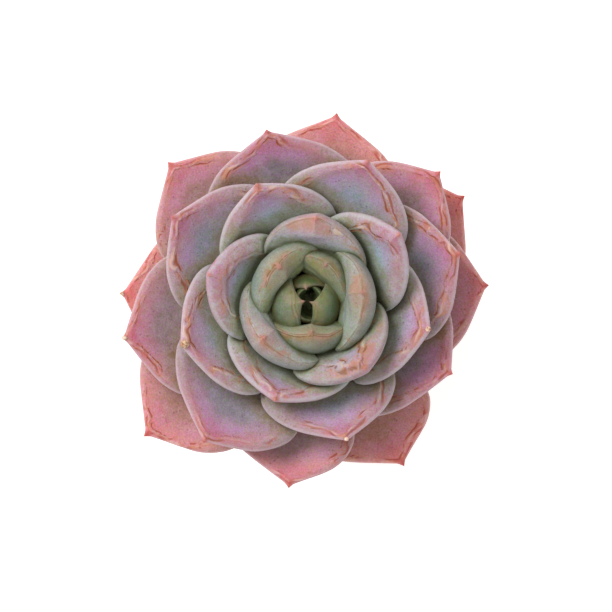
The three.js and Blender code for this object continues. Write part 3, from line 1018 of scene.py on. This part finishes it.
def sheltered_skin(recipe, shades, at, uneven, skin):
    """Adds the sheltered green and painted shade, wax and a painted dark shade in the gaps: the
    colour and the height of the wax.
    """
    # Olive where little sky is seen: partly the skin's own green, partly painted shade.
    skin = recipe.mix(recipe.step(at["sun"], 0.05, 0.45, 0.5, 0.0), skin, shades["olive"])
    # Close beside a neighbour the olive deepens, as painted shade of the narrow gap.
    hidden = recipe.math("ADD", at["tucked"], recipe.math("MULTIPLY", uneven, 0.25))
    skin = recipe.mix(recipe.step(hidden, 0.0, 0.22, 0.0, 0.75), skin, shades["olive"])
    waxed = recipe.use(WAX, Colour=skin, Wax=shades["wax"], Amount=WAX_AMOUNT)
    # A painted brown shade in the deepest gaps, laid over the wax.
    gap_shade_share = recipe.step(hidden, 0.22, 0.6, 0.0, 0.75)
    return recipe.mix(gap_shade_share, waxed["Colour"], shades["brown"]), waxed["Height"]


print("wax covers up to a share of", WAX_AMOUNT)

# %% [markdown]
# ## Wear, edge and tip
#
# The marks of wear come from their group, each with its own colour. The bare skin of a scuff is
# ochre in some places and rosy in others. Last come a thin painted highlight along the edge and
# the red point of the leaf.

# %% Worn skin
def worn_skin(recipe, shades, at, uneven, skin):
    """Adds scuffs, scars, cracks, a painted highlight on the edge and the tip: the colour and the
    masks of the marks.
    """
    marks = {"Line": at["line"], "Along": at["along"], "From Tip": at["from_tip"]}
    worn = recipe.use(RUBBED, Weight=at["rubbed"], Age=at["age"], **marks)
    rosy = recipe.step(recipe.noise(recipe.place(), 330, 2, 0.6), 0.46, 0.6, 0.0, 0.7)
    bare = recipe.mix(rosy, shades["scuff"], shades["tip"])
    skin = recipe.mix(recipe.math("MULTIPLY", worn["Scuff"], 0.75), skin, bare)
    skin = recipe.mix(recipe.math("MULTIPLY", worn["Pale"], 0.45), skin, shades["pale"])
    skin = recipe.mix(recipe.math("MULTIPLY", worn["Crack"], 0.75), skin, shades["crack"])
    # A thin painted highlight along the blunt edge, stronger on the older leaves.
    edge_highlight_share = recipe.step(recipe.math("ABSOLUTE", at["from_edge"]), 0.0, 0.4, 1.0, 0.0)
    edge_highlight_strength = recipe.step(at["age"], 20.0, 25.0, 0.45, 0.08)
    skin = recipe.mix(recipe.math("MULTIPLY", edge_highlight_share, edge_highlight_strength), skin, shades["edge"])
    tip = recipe.math("ADD", at["from_tip"], recipe.math("MULTIPLY", uneven, 3.0))
    return recipe.mix(recipe.step(tip, 0.2, 2.4, 0.85, 0.0), skin, shades["tip"]), worn


outputs = [item.name for item in RUBBED.interface.items_tree if item.in_out == "OUTPUT"]
print("marks of wear:", outputs)

# %% [markdown]
# ## Leaf materials
#
# The material hands the distances on to the three layers above and sets the shader. Wax is dull,
# and rubbed skin shines a little more. Flesh lets light in under the skin, so a little subsurface
# scattering softens the shade. The bump raises the scars and sinks the cracks.

# %% Leaf materials
KEPT = ("age", "line", "from_edge", "from_tip", "along", "sun", "tucked", "rubbed")
DULL, SHINE = 0.6, 0.18
SCAR_HEIGHT_SHARE = 1.2


def leaf_skin(name, *ages):
    """A leaf material for leaves between the given ages."""
    material, recipe, shader = new_material(name)
    at = {kept: recipe.attribute(kept) for kept in KEPT}
    shades = {part: shade_at_age(recipe, part, at["age"], ages) for part in SHADES}
    uneven = recipe.centred(recipe.noise(recipe.place(), 240, 4, 0.65), 1.0)
    skin = grown_skin(recipe, shades, at, uneven)
    skin, wax_height = sheltered_skin(recipe, shades, at, uneven, skin)
    skin, worn = worn_skin(recipe, shades, at, uneven, skin)
    recipe.link(skin, shader.inputs["Base Color"])
    gloss = recipe.math("MULTIPLY", worn["Scuff"], SHINE)
    recipe.link(recipe.math("SUBTRACT", DULL, gloss), shader.inputs["Roughness"])
    shader.inputs["Specular IOR Level"].default_value = 0.35
    shader.inputs["Subsurface Weight"].default_value = 0.12
    shader.inputs["Subsurface Radius"].default_value = (1.0, 0.5, 0.35)
    shader.inputs["Subsurface Scale"].default_value = 1.6 * MM
    raised = recipe.math("MULTIPLY", worn["Pale"], SCAR_HEIGHT_SHARE)
    sunk = recipe.math("MULTIPLY", worn["Crack"], SCAR_HEIGHT_SHARE)
    relief = recipe.math("SUBTRACT", recipe.math("ADD", wax_height, raised), sunk)
    add_bump(recipe, shader, relief, 0.18 * MM, 0.6)
    return material


SKINS = {
    "leaf_coral": leaf_skin("coral_skin", 1, 12),
    "leaf_mauve": leaf_skin("mauve_skin", 12, 23),
    "leaf_green": leaf_skin("green_skin", 23, 28, 33),
    "heart_green": leaf_skin("heart_skin", 28, 33),
}
print("leaf materials:", sorted(SKINS))

# %% [markdown]
# ## Put the leaves in place
#
# Each leaf gets the material of its slot in the record and takes the place of its plain model,
# which is then hidden. The bud's three leaves are joined first, because the construction model has
# them as one piece. The blank has done its work and is removed.

# %% Dress the leaves
def take_place(piece, slot, *nodes):
    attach(piece, "root")
    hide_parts(*nodes)


def slot_of(node):
    return next(s["material_slot"] for s in frame["record"]["subparts"] if s["node"] == node)


for number, piece in enumerate(leaves, start=1):
    node = f"leaf_{number:02d}"
    piece.data.materials.append(SKINS[slot_of(node)])
    take_place(piece, slot_of(node), node)

deselect_all()
for piece in bud:
    piece.select_set(True)
bpy.context.view_layer.objects.active = bud[0]
bpy.ops.object.join()
heart = bpy.context.object
heart.name = "heart_bud"
heart.data.materials.append(SKINS["heart_green"])
take_place(heart, slot_of("heart"), "heart")
bpy.data.objects.remove(blank)
print("leaves in place:", len(leaves), "and the bud with", len(heart.data.polygons), "faces")

# %% [markdown]
# ## Dry tips
#
# A few leaves have lost their points. The wound dries to a small rough knob, tan or white. A ball
# with its points pushed about at random is one. The same start will do for pebbles.

# %% Rough ball
def rough_ball(name, detail, roughness, seed):
    """A ball of radius 1 with every point pushed about."""
    deselect_all()
    bpy.ops.mesh.primitive_ico_sphere_add(subdivisions=detail, radius=1, location=(0, 0, 0))
    ball = bpy.context.object
    ball.name = name
    bpy.ops.object.mode_set(mode="EDIT")
    bpy.ops.mesh.select_all(action="SELECT")
    bpy.ops.transform.vertex_random(offset=roughness, uniform=0.6, seed=seed)
    bpy.ops.object.mode_set(mode="OBJECT")
    return ball


def placed_copy(source, name, matrix):
    """A copy whose place is in its mesh, so that the object itself stays at the origin."""
    mesh = source.data.copy()
    mesh.transform(matrix)
    piece = bpy.data.objects.new(name, mesh)
    bpy.context.scene.collection.objects.link(piece)
    return piece


knob = rough_ball("dry_knob", 3, 0.22, 4)
print("the knob has", len(knob.data.polygons), "faces")

# %% [markdown]
# ## Knobs on the damaged tips
#
# A copy of the knob sits on each of five tips, by the leaf's number: its radius in millimetres,
# and how white it is. It is sunk into the leaf by a little more than its radius, so that it looks
# grown on and doesn't stand out past the tip.

# %% Knobs on the damaged tips
DRY_TIPS = {18: (1.0, 0.2), 19: (0.6, 0.55), 10: (0.6, 0.9), 2: (0.55, 0.7), 16: (0.5, 1.0)}
KNOB_SUNK = 1.25
NEAR_TIP = 0.96


def dry_material():
    material, recipe, shader = new_material("dry_tip")
    place = recipe.place()
    lumps = recipe.noise(place, 1400, 4, 0.7)
    tan = recipe.mix(recipe.step(lumps, 0.35, 0.65), colour("#8a5c3a"), colour("#d8b890"))
    white = recipe.mix(recipe.step(lumps, 0.3, 0.6), colour("#c06a50"), colour("#e8dcc8"))
    recipe.link(recipe.mix(recipe.attribute("whiteness"), tan, white), shader.inputs["Base Color"])
    shader.inputs["Roughness"].default_value = 0.8
    add_bump(recipe, shader, lumps, 0.3 * MM, 0.8)
    return material


DRY = dry_material()
for number, (radius, whiteness) in DRY_TIPS.items():
    leaf = leaves[number - 1]
    top = leaf.data.vertices[int(np.argmax(ALONG))].co
    inward = (leaf.data.vertices[int(np.argmin(np.abs(ALONG - NEAR_TIP)))].co - top).normalized()
    spot = Matrix.Translation(top + inward * radius * KNOB_SUNK * MM)
    turned = Matrix.Rotation(number, 4, "Y")
    place = spot @ turned @ Matrix.Scale(radius * MM, 4)
    piece = placed_copy(knob, f"dry_tip_{number:02d}", place)
    store(piece, "whiteness", np.full(len(piece.data.vertices), whiteness))
    piece.data.materials.append(DRY)
    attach(piece, "root")
bpy.data.objects.remove(knob)
print("dry tips:", sorted(DRY_TIPS))

# %% [markdown]
# ## The pot
#
# A clay pot is turned on a wheel, so every cut through its middle has the same outline. That
# outline is written down as radius and height, in millimetres: out along the foot, up the wall,
# over the rim, down inside and back through the drain hole. More points are put in between, so
# that the wall has enough of them to be shaped later.

# %% Outline of the wall
BASE_RADIUS, BODY_TOP_RADIUS, RIM_RADIUS, WALL = 22.5, 31.2, 33, 3.5
RIM_FOOT, POT_HEIGHT, POT_FLOOR = 45, 56, 4
PROFILE_STEP = 2.5


def inner_radius(height):
    """Radius of the inner wall at a height."""
    if height <= RIM_FOOT:
        return BASE_RADIUS + (BODY_TOP_RADIUS - BASE_RADIUS) * height / RIM_FOOT - WALL
    share = (height - RIM_FOOT) / (POT_HEIGHT - RIM_FOOT)
    return BODY_TOP_RADIUS + (RIM_RADIUS - BODY_TOP_RADIUS) * share - WALL


POT_OUTLINE = (
    (4, 0.6), (4.6, 0), (7, 0), (8, 0.6), (17, 0.6), (18, 0), (21.6, 0), (22.5, 0.9),
    (BODY_TOP_RADIUS, RIM_FOOT), (32.3, RIM_FOOT + 0.2),
    (RIM_RADIUS, POT_HEIGHT - 0.9), (32.1, POT_HEIGHT), (30.2, POT_HEIGHT),
    (inner_radius(55), 55), (inner_radius(RIM_FOOT), RIM_FOOT),
    (inner_radius(POT_FLOOR + 1.5), POT_FLOOR + 1.5), (18, POT_FLOOR),
    (4.6, POT_FLOOR), (4, POT_FLOOR - 0.6), (4, 0.6),
)


def close_points(outline, spacing):
    """The outline with points put in, so that neighbours lie about the spacing apart."""
    places = [outline[0]]
    for start, end in zip(outline[:-1], outline[1:]):
        pieces = max(1, round(math.dist(start, end) / spacing))
        for k in range(1, pieces + 1):
            places.append(tuple(a + (b - a) * k / pieces for a, b in zip(start, end)))
    return places


pot_line = close_points(POT_OUTLINE, PROFILE_STEP)
print("points in the pot's outline:", len(pot_line))

# %% [markdown]
# ## Draw the outline and spin it
#
# A plane is merged to one point, which is extruded from place to place until the line is drawn.
# Spin then carries the line round the axis, as the wheel does with the clay. The first and the
# last row of points fall together, so they are merged, and the faces are turned outwards.

# %% Draw and spin
TURN_STEPS = 96
MERGE_WITHIN = 0.00001


def draw_line(name, places):
    """A line of points in the plane y = 0, drawn by extruding one point on and on."""
    deselect_all()
    bpy.ops.mesh.primitive_plane_add(size=0.001, location=(0, 0, 0))
    piece = bpy.context.object
    piece.name = name
    bpy.ops.object.mode_set(mode="EDIT")
    bpy.ops.mesh.select_all(action="SELECT")
    bpy.ops.mesh.merge(type="CENTER")
    bpy.ops.transform.translate(value=(places[0][0] * MM, 0, places[0][1] * MM))
    for (r0, z0), (r1, z1) in zip(places[:-1], places[1:]):
        move = ((r1 - r0) * MM, 0, (z1 - z0) * MM)
        bpy.ops.mesh.extrude_region_move(TRANSFORM_OT_translate={"value": move})
    return piece


def spin_round(steps):
    """Spins the line that is in edit mode round the z axis and closes the skin."""
    bpy.ops.mesh.select_all(action="SELECT")
    bpy.ops.mesh.spin(steps=steps, angle=2 * math.pi, center=(0, 0, 0), axis=(0, 0, 1))
    bpy.ops.mesh.select_all(action="SELECT")
    bpy.ops.mesh.remove_doubles(threshold=MERGE_WITHIN)
    bpy.ops.mesh.normals_make_consistent(inside=False)
    bpy.ops.object.mode_set(mode="OBJECT")


pot = draw_line("clay_pot", pot_line)
spin_round(TURN_STEPS)
print("the spun pot has", len(pot.data.polygons), "faces")

# %% [markdown]
# ## Hand-made clay
#
# Fingers and a sponge have rounded the pot's corners, and it has warped a little in the fire. A
# bevel rounds the corners, and a shallow displacement takes away the look of a machine. It leaves
# out the foot, so that the pot still stands flat.

# %% Round and warp the clay
def apply_modifier(piece, kind, **settings):
    modifier = piece.modifiers.new(kind.lower(), kind)
    for name, value in settings.items():
        setattr(modifier, name, value)
    deselect_all()
    bpy.context.view_layer.objects.active = piece
    piece.select_set(True)
    bpy.ops.object.modifier_apply(modifier=modifier.name)


def weigh(piece, name, weight):
    """A vertex group whose weight depends on the place of each point."""
    group = piece.vertex_groups.new(name=name)
    for vertex in piece.data.vertices:
        group.add([vertex.index], float(weight(vertex.co / MM)), "REPLACE")
    return name


corner = math.radians(25)
apply_modifier(pot, "BEVEL", width=0.4 * MM, segments=2, limit_method="ANGLE", angle_limit=corner)
lumps = bpy.data.textures.new("clay_lumps", "CLOUDS")
lumps.noise_scale = 22 * MM
above_foot = weigh(pot, "above_foot", lambda place: smooth(1.5, 8, place.z))
apply_modifier(
    pot, "DISPLACE", texture=lumps, texture_coords="LOCAL",
    strength=0.5 * MM, vertex_group=above_foot,
)
pot.vertex_groups.clear()
bpy.ops.object.shade_smooth_by_angle(angle=math.radians(40))
print("pot has", len(pot.data.polygons), "faces")

# %% [markdown]
# ## Grains of clay and soil
#
# Fired clay, potting mix and grit are all made of grains. One group gives them: it mixes a light
# and a dark grain into a colour at the size it is given, and puts out their height for the bump.

# %% Group: mineral grain
def grain_group():
    recipe, given, result = new_group(
        "mineral_grain",
        {"Colour": "colour", "Light": "colour", "Dark": "colour", "Scale": "value"},
        {"Colour": "colour", "Height": "value"},
    )
    place = recipe.place()
    fine = recipe.noise(place, given["Scale"], 4, 0.7)
    grains = recipe.cells(place, given["Scale"])
    coarse = recipe.noise(place, recipe.math("MULTIPLY", given["Scale"], 0.12), 3, 0.6)
    skin = recipe.mix(recipe.step(fine, 0.55, 0.72, 0.0, 0.55), given["Colour"], given["Light"])
    skin = recipe.mix(recipe.step(fine, 0.3, 0.45, 0.6, 0.0), skin, given["Dark"])
    skin = recipe.mix(recipe.step(coarse, 0.4, 0.65, 0.0, 0.3), skin, given["Dark"])
    recipe.link(skin, result["Colour"])
    pores = recipe.math("MULTIPLY", grains, 0.4)
    recipe.link(recipe.math("SUBTRACT", fine, pores), result["Height"])
    return recipe.tree


GRAIN = grain_group()
print("the grain group has", len(GRAIN.nodes), "nodes")

# %% [markdown]
# ## Terracotta
#
# Unglazed clay is never one colour. The fire leaves it paler and darker in clouds, the wheel
# leaves fine rings, and watering draws lime to the outside as a pale bloom, most of it low on the
# wall and under the rim. The inside near the soil stays dark and damp too, which this material
# does not show.

# %% Terracotta material
RADIANS_PER_METRE = 5200.0
RING_WOBBLE = 0.0012
UNDER_RIM = 0.0435


def terracotta():
    material, recipe, shader = new_material("terracotta")
    place = recipe.place()
    split = recipe.tree.nodes.new("ShaderNodeSeparateXYZ")
    recipe.link(place, split.inputs[0])
    height = split.outputs["Z"]
    clouds = recipe.noise(place, 45, 4, 0.6, 0.4)
    fired = recipe.mix(recipe.step(clouds, 0.35, 0.65), colour("#b0623c"), colour("#c4794e"))
    light, dark = colour("#d99a70"), colour("#8f4a2c")
    grain = recipe.use(GRAIN, Colour=fired, Light=light, Dark=dark, Scale=1500.0)
    wobble = recipe.math("MULTIPLY", recipe.noise(place, 30, 1, 0.5), RING_WOBBLE)
    turns = recipe.math("MULTIPLY", recipe.math("ADD", height, wobble), RADIANS_PER_METRE)
    rings = recipe.math("SINE", turns)
    bloom_noise = recipe.noise(place, 130, 5, 0.7, 0.5)
    low = recipe.step(height, 0.004, 0.024, 0.75, 0.15)
    from_rim = recipe.math("ABSOLUTE", recipe.math("SUBTRACT", height, UNDER_RIM))
    under_rim = recipe.step(from_rim, 0.001, 0.006, 0.6, 0.0)
    amount = recipe.math("MAXIMUM", low, under_rim)
    bloom = recipe.math("MULTIPLY", recipe.step(bloom_noise, 0.5, 0.72), amount)
    skin = recipe.mix(bloom, grain["Colour"], colour("#dcc3ae"))
    recipe.link(skin, shader.inputs["Base Color"])
    shader.inputs["Roughness"].default_value = 0.88
    shader.inputs["Specular IOR Level"].default_value = 0.25
    grain_height = recipe.math("MULTIPLY", grain["Height"], 0.8)
    relief = recipe.math("ADD", grain_height, recipe.math("MULTIPLY", rings, 0.12))
    add_bump(recipe, shader, relief, 0.25 * MM, 0.6)
    return material


pot.data.materials.append(terracotta())
take_place(pot, slot_of("pot"), "pot")
print("the pot's slot:", slot_of("pot"))

# %% [markdown]
# ## The soil
#
# Potting mix settles into a lumpy level a little below the lip. It starts as a disc, and Inset
# sets ring after ring into it, so that it has enough points for the lumps. Its outer edge is drawn
# down along the inner wall to the floor, so the soil fills the pot.

# %% Disc of soil, drawn down to the floor
SOIL_TOP = 50
WALL_GAP = 0.1
SOIL_RADIUS = inner_radius(SOIL_TOP) - WALL_GAP
SOIL_SIDES, SOIL_RINGS = 72, 15

deselect_all()
bpy.ops.mesh.primitive_circle_add(
    vertices=SOIL_SIDES, radius=SOIL_RADIUS * MM, fill_type="NGON", location=(0, 0, SOIL_TOP * MM),
)
soil = bpy.context.object
soil.name = "potting_soil"
bpy.ops.object.transform_apply(location=True, rotation=False, scale=False)
bpy.ops.object.mode_set(mode="EDIT")
bpy.ops.mesh.select_all(action="SELECT")
for _ in range(SOIL_RINGS):
    bpy.ops.mesh.inset(thickness=SOIL_RADIUS / (SOIL_RINGS + 1) * MM)
bpy.ops.mesh.poke()
bpy.ops.mesh.select_all(action="SELECT")
bpy.ops.mesh.region_to_loop()
for height in (SOIL_TOP - 3, RIM_FOOT, 30, POT_FLOOR + 0.3):
    bpy.ops.mesh.extrude_region_move()
    chosen = next(v.co for v in bmesh.from_edit_mesh(soil.data).verts if v.select)
    radius = math.hypot(chosen.x, chosen.y) / MM
    level = chosen.z / MM
    size = (inner_radius(height) - WALL_GAP) / radius
    bpy.ops.transform.resize(value=(size, size, 1), center_override=(0, 0, 0))
    bpy.ops.transform.translate(value=(0, 0, (height - level) * MM))
bpy.ops.mesh.edge_face_add()
bpy.ops.mesh.select_all(action="SELECT")
bpy.ops.mesh.normals_make_consistent(inside=False)
bpy.ops.object.mode_set(mode="OBJECT")
print("soil has", len(soil.data.polygons), "faces")

# %% [markdown]
# ## Lumps and crumbs
#
# Two displacements push the soil's top up and down: a broad one where it has settled unevenly, and
# a fine one, from a cell pattern, for its crumbs. Both stop short of the wall, where the soil must
# stay inside the pot.

# %% Lumps and crumbs
LUMPS_FADE, LUMPS_END = 26.5, 28.3


def soil_weight(place):
    on_level = smooth(SOIL_TOP - 0.5, SOIL_TOP - 0.1, place.z)
    return on_level * (1 - smooth(LUMPS_FADE, LUMPS_END, place.xy.length))


apply_modifier(soil, "SUBSURF", levels=1, render_levels=1, subdivision_type="SIMPLE")
on_top = weigh(soil, "on_top", soil_weight)
settled = bpy.data.textures.new("settled", "CLOUDS")
settled.noise_scale = 9 * MM
crumbs = bpy.data.textures.new("crumbs", "VORONOI")
crumbs.noise_scale = 2.2 * MM
for texture, strength in ((settled, 2.4), (crumbs, -1.5)):
    apply_modifier(
        soil, "DISPLACE", texture=texture, texture_coords="LOCAL", direction="Z",
        strength=strength * MM, mid_level=0.5, vertex_group=on_top,
    )
soil.vertex_groups.clear()
bpy.ops.object.shade_smooth_by_angle(angle=math.radians(60))
print("the soil's highest lump in mm:", round(max(v.co.z for v in soil.data.vertices) / MM, 1))

# %% [markdown]
# ## Soil material
#
# Potting mix is dark where it is damp and paler where it has dried. Between its grains lie short
# fibres of bark and coir. A noise that is stretched in one direction looks like them.

# %% Soil material
def soil_material():
    material, recipe, shader = new_material("potting_soil")
    place = recipe.place()
    damp = recipe.noise(place, 60, 3, 0.6)
    base = recipe.mix(recipe.step(damp, 0.4, 0.6), colour("#3a2b20"), colour("#54402f"))
    light, dark = colour("#8a7358"), colour("#1d140e")
    grain = recipe.use(GRAIN, Colour=base, Light=light, Dark=dark, Scale=700.0)
    fibres = recipe.noise(recipe.stretched(place, (2.2, 0.25, 1.0)), 600, 3, 0.6, 1.5)
    skin = recipe.mix(recipe.step(fibres, 0.62, 0.7, 0.0, 0.6), grain["Colour"], colour("#7c5f40"))
    recipe.link(skin, shader.inputs["Base Color"])
    shader.inputs["Roughness"].default_value = 0.95
    shader.inputs["Specular IOR Level"].default_value = 0.2
    add_bump(recipe, shader, grain["Height"], 0.9 * MM, 0.9)
    return material


soil.data.materials.append(soil_material())
take_place(soil, slot_of("soil"), "soil")
print("the soil's slot:", slot_of("soil"))

# %% [markdown]
# ## Grit on the soil
#
# Growers mix pumice and grit into the soil of succulents, and the top is full of it. Three rough
# pebbles of twenty faces each are modelled, because a shape that is seen hundreds of times has to
# be a light one. Each copy will be flattened, tilted and turned in its own way.

# %% Three pebbles
pebble_draw = random.Random(11)
blanks = [rough_ball(f"pebble_blank_{k}", 1, 0.35, k) for k in range(3)]


def pebble_matrix(spot, size):
    width, height = pebble_draw.uniform(0.8, 1.3), pebble_draw.uniform(0.5, 0.8)
    flat = Matrix.Diagonal((size * width, size, size * height, 1))
    tilt = Matrix.Rotation(pebble_draw.uniform(-0.5, 0.5), 4, "X")
    turn = Matrix.Rotation(pebble_draw.uniform(0, 6.3), 4, "Z")
    return Matrix.Translation(spot) @ turn @ tilt @ flat


print("faces of a pebble:", len(blanks[0].data.polygons))

# %% [markdown]
# ## Drop the pebbles
#
# Each pebble falls at a random place, and a ray from above finds the soil there. The square root
# keeps them as dense at the wall as in the middle. A ring round the stem stays free. All of them
# become one piece, and each keeps its own shade in an attribute.

# %% Drop the pebbles
PEBBLES = 620
PEBBLE_SIZES = (0.45, 1.35)
WALL_CLEARANCE, STEM_CLEARANCE = 1.3, 5.6
DROP_FROM = Vector((0, 0, 60 * MM))
DOWN = Vector((0, 0, -1))

soil_tree = search_tree([soil])
pebbles = []
while len(pebbles) < PEBBLES:
    reach = (SOIL_RADIUS - WALL_CLEARANCE) * math.sqrt(pebble_draw.random()) * MM
    angle = pebble_draw.uniform(0, 2 * math.pi)
    spot = Vector((reach * math.cos(angle), reach * math.sin(angle), 0))
    if (spot - CROWN).length < STEM_CLEARANCE * MM:
        continue
    size = pebble_draw.triangular(*PEBBLE_SIZES, 0.6) * MM
    hit = soil_tree.ray_cast(spot + DROP_FROM, DOWN)[0]
    spot = Vector((spot.x, spot.y, hit.z + 0.15 * size))
    pebble = placed_copy(pebble_draw.choice(blanks), "pebble", pebble_matrix(spot, size))
    store(pebble, "shade", np.full(len(pebble.data.vertices), pebble_draw.random()))
    pebbles.append(pebble)
deselect_all()
for pebble in pebbles:
    pebble.select_set(True)
bpy.context.view_layer.objects.active = pebbles[0]
bpy.ops.object.join()
grit = bpy.context.object
grit.name = "grit"
bpy.ops.object.shade_smooth_by_angle(angle=math.radians(35))
for pebble_blank in blanks:
    bpy.data.objects.remove(pebble_blank)
print("pebbles:", PEBBLES, "faces:", len(grit.data.polygons))

# %% [markdown]
# ## Grit material
#
# The attribute says what stone a pebble is: dark rock, pale pumice, white quartz or a chip of
# fired clay. Narrow steps keep the kinds apart, and the grain group gives each its pores.

# %% Grit material
def grit_material():
    material, recipe, shader = new_material("grit")
    shade = recipe.attribute("shade")
    pale = recipe.mix(recipe.step(shade, 0.3, 0.34), colour("#6b5d50"), colour("#b8ab98"))
    stone = recipe.mix(recipe.step(shade, 0.62, 0.66), pale, colour("#ddd8cc"))
    stone = recipe.mix(recipe.step(shade, 0.88, 0.9), stone, colour("#8c5c42"))
    light, dark = colour("#efe9dc"), colour("#4a4038")
    grain = recipe.use(GRAIN, Colour=stone, Light=light, Dark=dark, Scale=2200.0)
    recipe.link(grain["Colour"], shader.inputs["Base Color"])
    shader.inputs["Roughness"].default_value = 0.9
    add_bump(recipe, shader, grain["Height"], 0.2 * MM, 0.7)
    return material


grit.data.materials.append(grit_material())
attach(grit, "root")
print("the grit shares the soil's slot:", slot_of("soil"))

# %% [markdown]
# ## The stem
#
# Under the rosette the stem is bare, because the oldest leaves have dropped. It starts as a small
# disc below the soil and is extruded ring by ring along the stem's taper. The rings lie close
# together where the stem shows, so that the scars of lost leaves have points to press in.

# %% Extrude the stem
STEM_SIDES = 36
STEM_RINGS = (
    (16, 2.2), (50, 4.5), (59, 5.5), (67.5, 7.8), (77.2, 6.8),
    (82.4, 5.4), (83.9, 4.8), (86, 3.4), (87.5, 1.2),
)
STEM_FOOT, STEM_FOOT_RADIUS = STEM_RINGS[0]
CLOSE_RINGS = [48 + 0.75 * k for k in range(27)]


def stem_radius(height):
    heights, radii = zip(*STEM_RINGS)
    return float(np.interp(height, heights, radii))


deselect_all()
bpy.ops.mesh.primitive_circle_add(
    vertices=STEM_SIDES, radius=STEM_FOOT_RADIUS * MM, fill_type="NGON",
    location=(0, 0, STEM_FOOT * MM),
)
stem = bpy.context.object
stem.name = "stem_skin"
bpy.ops.object.transform_apply(location=True, rotation=False, scale=False)
bpy.ops.object.mode_set(mode="EDIT")
bpy.ops.mesh.select_all(action="SELECT")
heights = [STEM_FOOT, 30, 42] + CLOSE_RINGS + [70, 77.2, 82.4, 83.9, 86, 87.5]
for below, above in zip(heights[:-1], heights[1:]):
    rise = (0, 0, (above - below) * MM)
    bpy.ops.mesh.extrude_region_move(TRANSFORM_OT_translate={"value": rise})
    size = stem_radius(above) / stem_radius(below)
    bpy.ops.transform.resize(value=(size, size, 1), center_override=(0, 0, 0))
bpy.ops.mesh.select_all(action="SELECT")
bpy.ops.mesh.normals_make_consistent(inside=False)
bpy.ops.transform.translate(value=CROWN)
bpy.ops.object.mode_set(mode="OBJECT")
print("stem has", len(stem.data.polygons), "faces")

# %% [markdown]
# ## Scars of lost leaves
#
# Each lost leaf has left a scar, a low dent with a dark lip. Scars follow each other by the same
# turn as the leaves. They are pressed in by a displacement with a vertex group, and an attribute
# keeps them for the material. A finer displacement adds small knots.

# %% Scars of lost leaves
SCARS, LOWEST_SCAR, SCAR_RISE = 13, 51, 1.15
SCAR_WIDTH, SCAR_HEIGHT, SCAR_DEPTH = 2.4, 0.9, 0.45


def scar_shares(piece):
    """1 in the middle of a scar and 0 outside it, at each point."""
    places = (np.array([v.co for v in piece.data.vertices]) - np.array(CROWN)) / MM
    turn = np.arctan2(places[:, 1], places[:, 0])
    share = np.zeros(len(places))
    for k in range(SCARS):
        away = (turn - k * GOLDEN + math.pi) % (2 * math.pi) - math.pi
        across = away * stem_radius(LOWEST_SCAR + SCAR_RISE * k) / SCAR_WIDTH
        up = (places[:, 2] - LOWEST_SCAR - SCAR_RISE * k) / SCAR_HEIGHT
        share = np.maximum(share, 1 - (across ** 2 + up ** 2))
    return np.clip(share, 0, 1)


apply_modifier(stem, "SUBSURF", levels=1, render_levels=1)
scars = scar_shares(stem)
store(stem, "scar", scars)
group = stem.vertex_groups.new(name="scars")
for index, share in enumerate(scars):
    group.add([index], float(share), "REPLACE")
apply_modifier(stem, "DISPLACE", strength=-SCAR_DEPTH * MM, mid_level=0, vertex_group="scars")
knots = bpy.data.textures.new("knots", "CLOUDS")
knots.noise_scale = 3 * MM
apply_modifier(
    stem, "DISPLACE", texture=knots, texture_coords="LOCAL", strength=0.5 * MM, mid_level=1.0,
)
stem.vertex_groups.clear()
bpy.ops.object.shade_smooth()
print("share of the stem's points in a scar:", round(float(np.mean(scars > 0)), 2))

# %% [markdown]
# ## Stem material
#
# Near the soil the stem is corky and brown, and under the leaves it is still green. A noise
# stretched upwards gives it the fine cracks of bark. The scars are pale and dry with a dark lip.

# %% Stem material
def stem_material():
    material, recipe, shader = new_material("stem_skin")
    place = recipe.place()
    split = recipe.tree.nodes.new("ShaderNodeSeparateXYZ")
    recipe.link(place, split.inputs[0])
    mottle = recipe.noise(place, 260, 4, 0.65)
    uneven = recipe.centred(mottle, 0.012)
    height = recipe.math("ADD", split.outputs["Z"], uneven)
    skin = recipe.mix(recipe.step(height, 0.052, 0.066), colour("#7d6446"), colour("#8c9064"))
    cracks = recipe.noise(recipe.stretched(place, (1.0, 1.0, 0.2)), 900, 3, 0.65, 0.5)
    skin = recipe.mix(recipe.step(cracks, 0.35, 0.48, 0.6, 0.0), skin, colour("#4e3a26"))
    scar = recipe.attribute("scar")
    skin = recipe.mix(recipe.step(scar, 0.05, 0.5, 0.0, 0.75), skin, colour("#a58a64"))
    lip_start, lip_end = recipe.step(scar, 0.0, 0.12), recipe.step(scar, 0.12, 0.35, 1.0, 0.0)
    lip = recipe.product(lip_start, lip_end, 0.8)
    skin = recipe.mix(lip, skin, colour("#4a3520"))
    recipe.link(skin, shader.inputs["Base Color"])
    shader.inputs["Roughness"].default_value = 0.8
    add_bump(recipe, shader, recipe.math("ADD", cracks, mottle), 0.35 * MM, 0.7)
    return material


stem.data.materials.append(stem_material())
take_place(stem, slot_of("stem"), "stem")
print("the stem's slot:", slot_of("stem"))

# %% [markdown] ## The end
# The finished model must stay inside the box of the construction model.
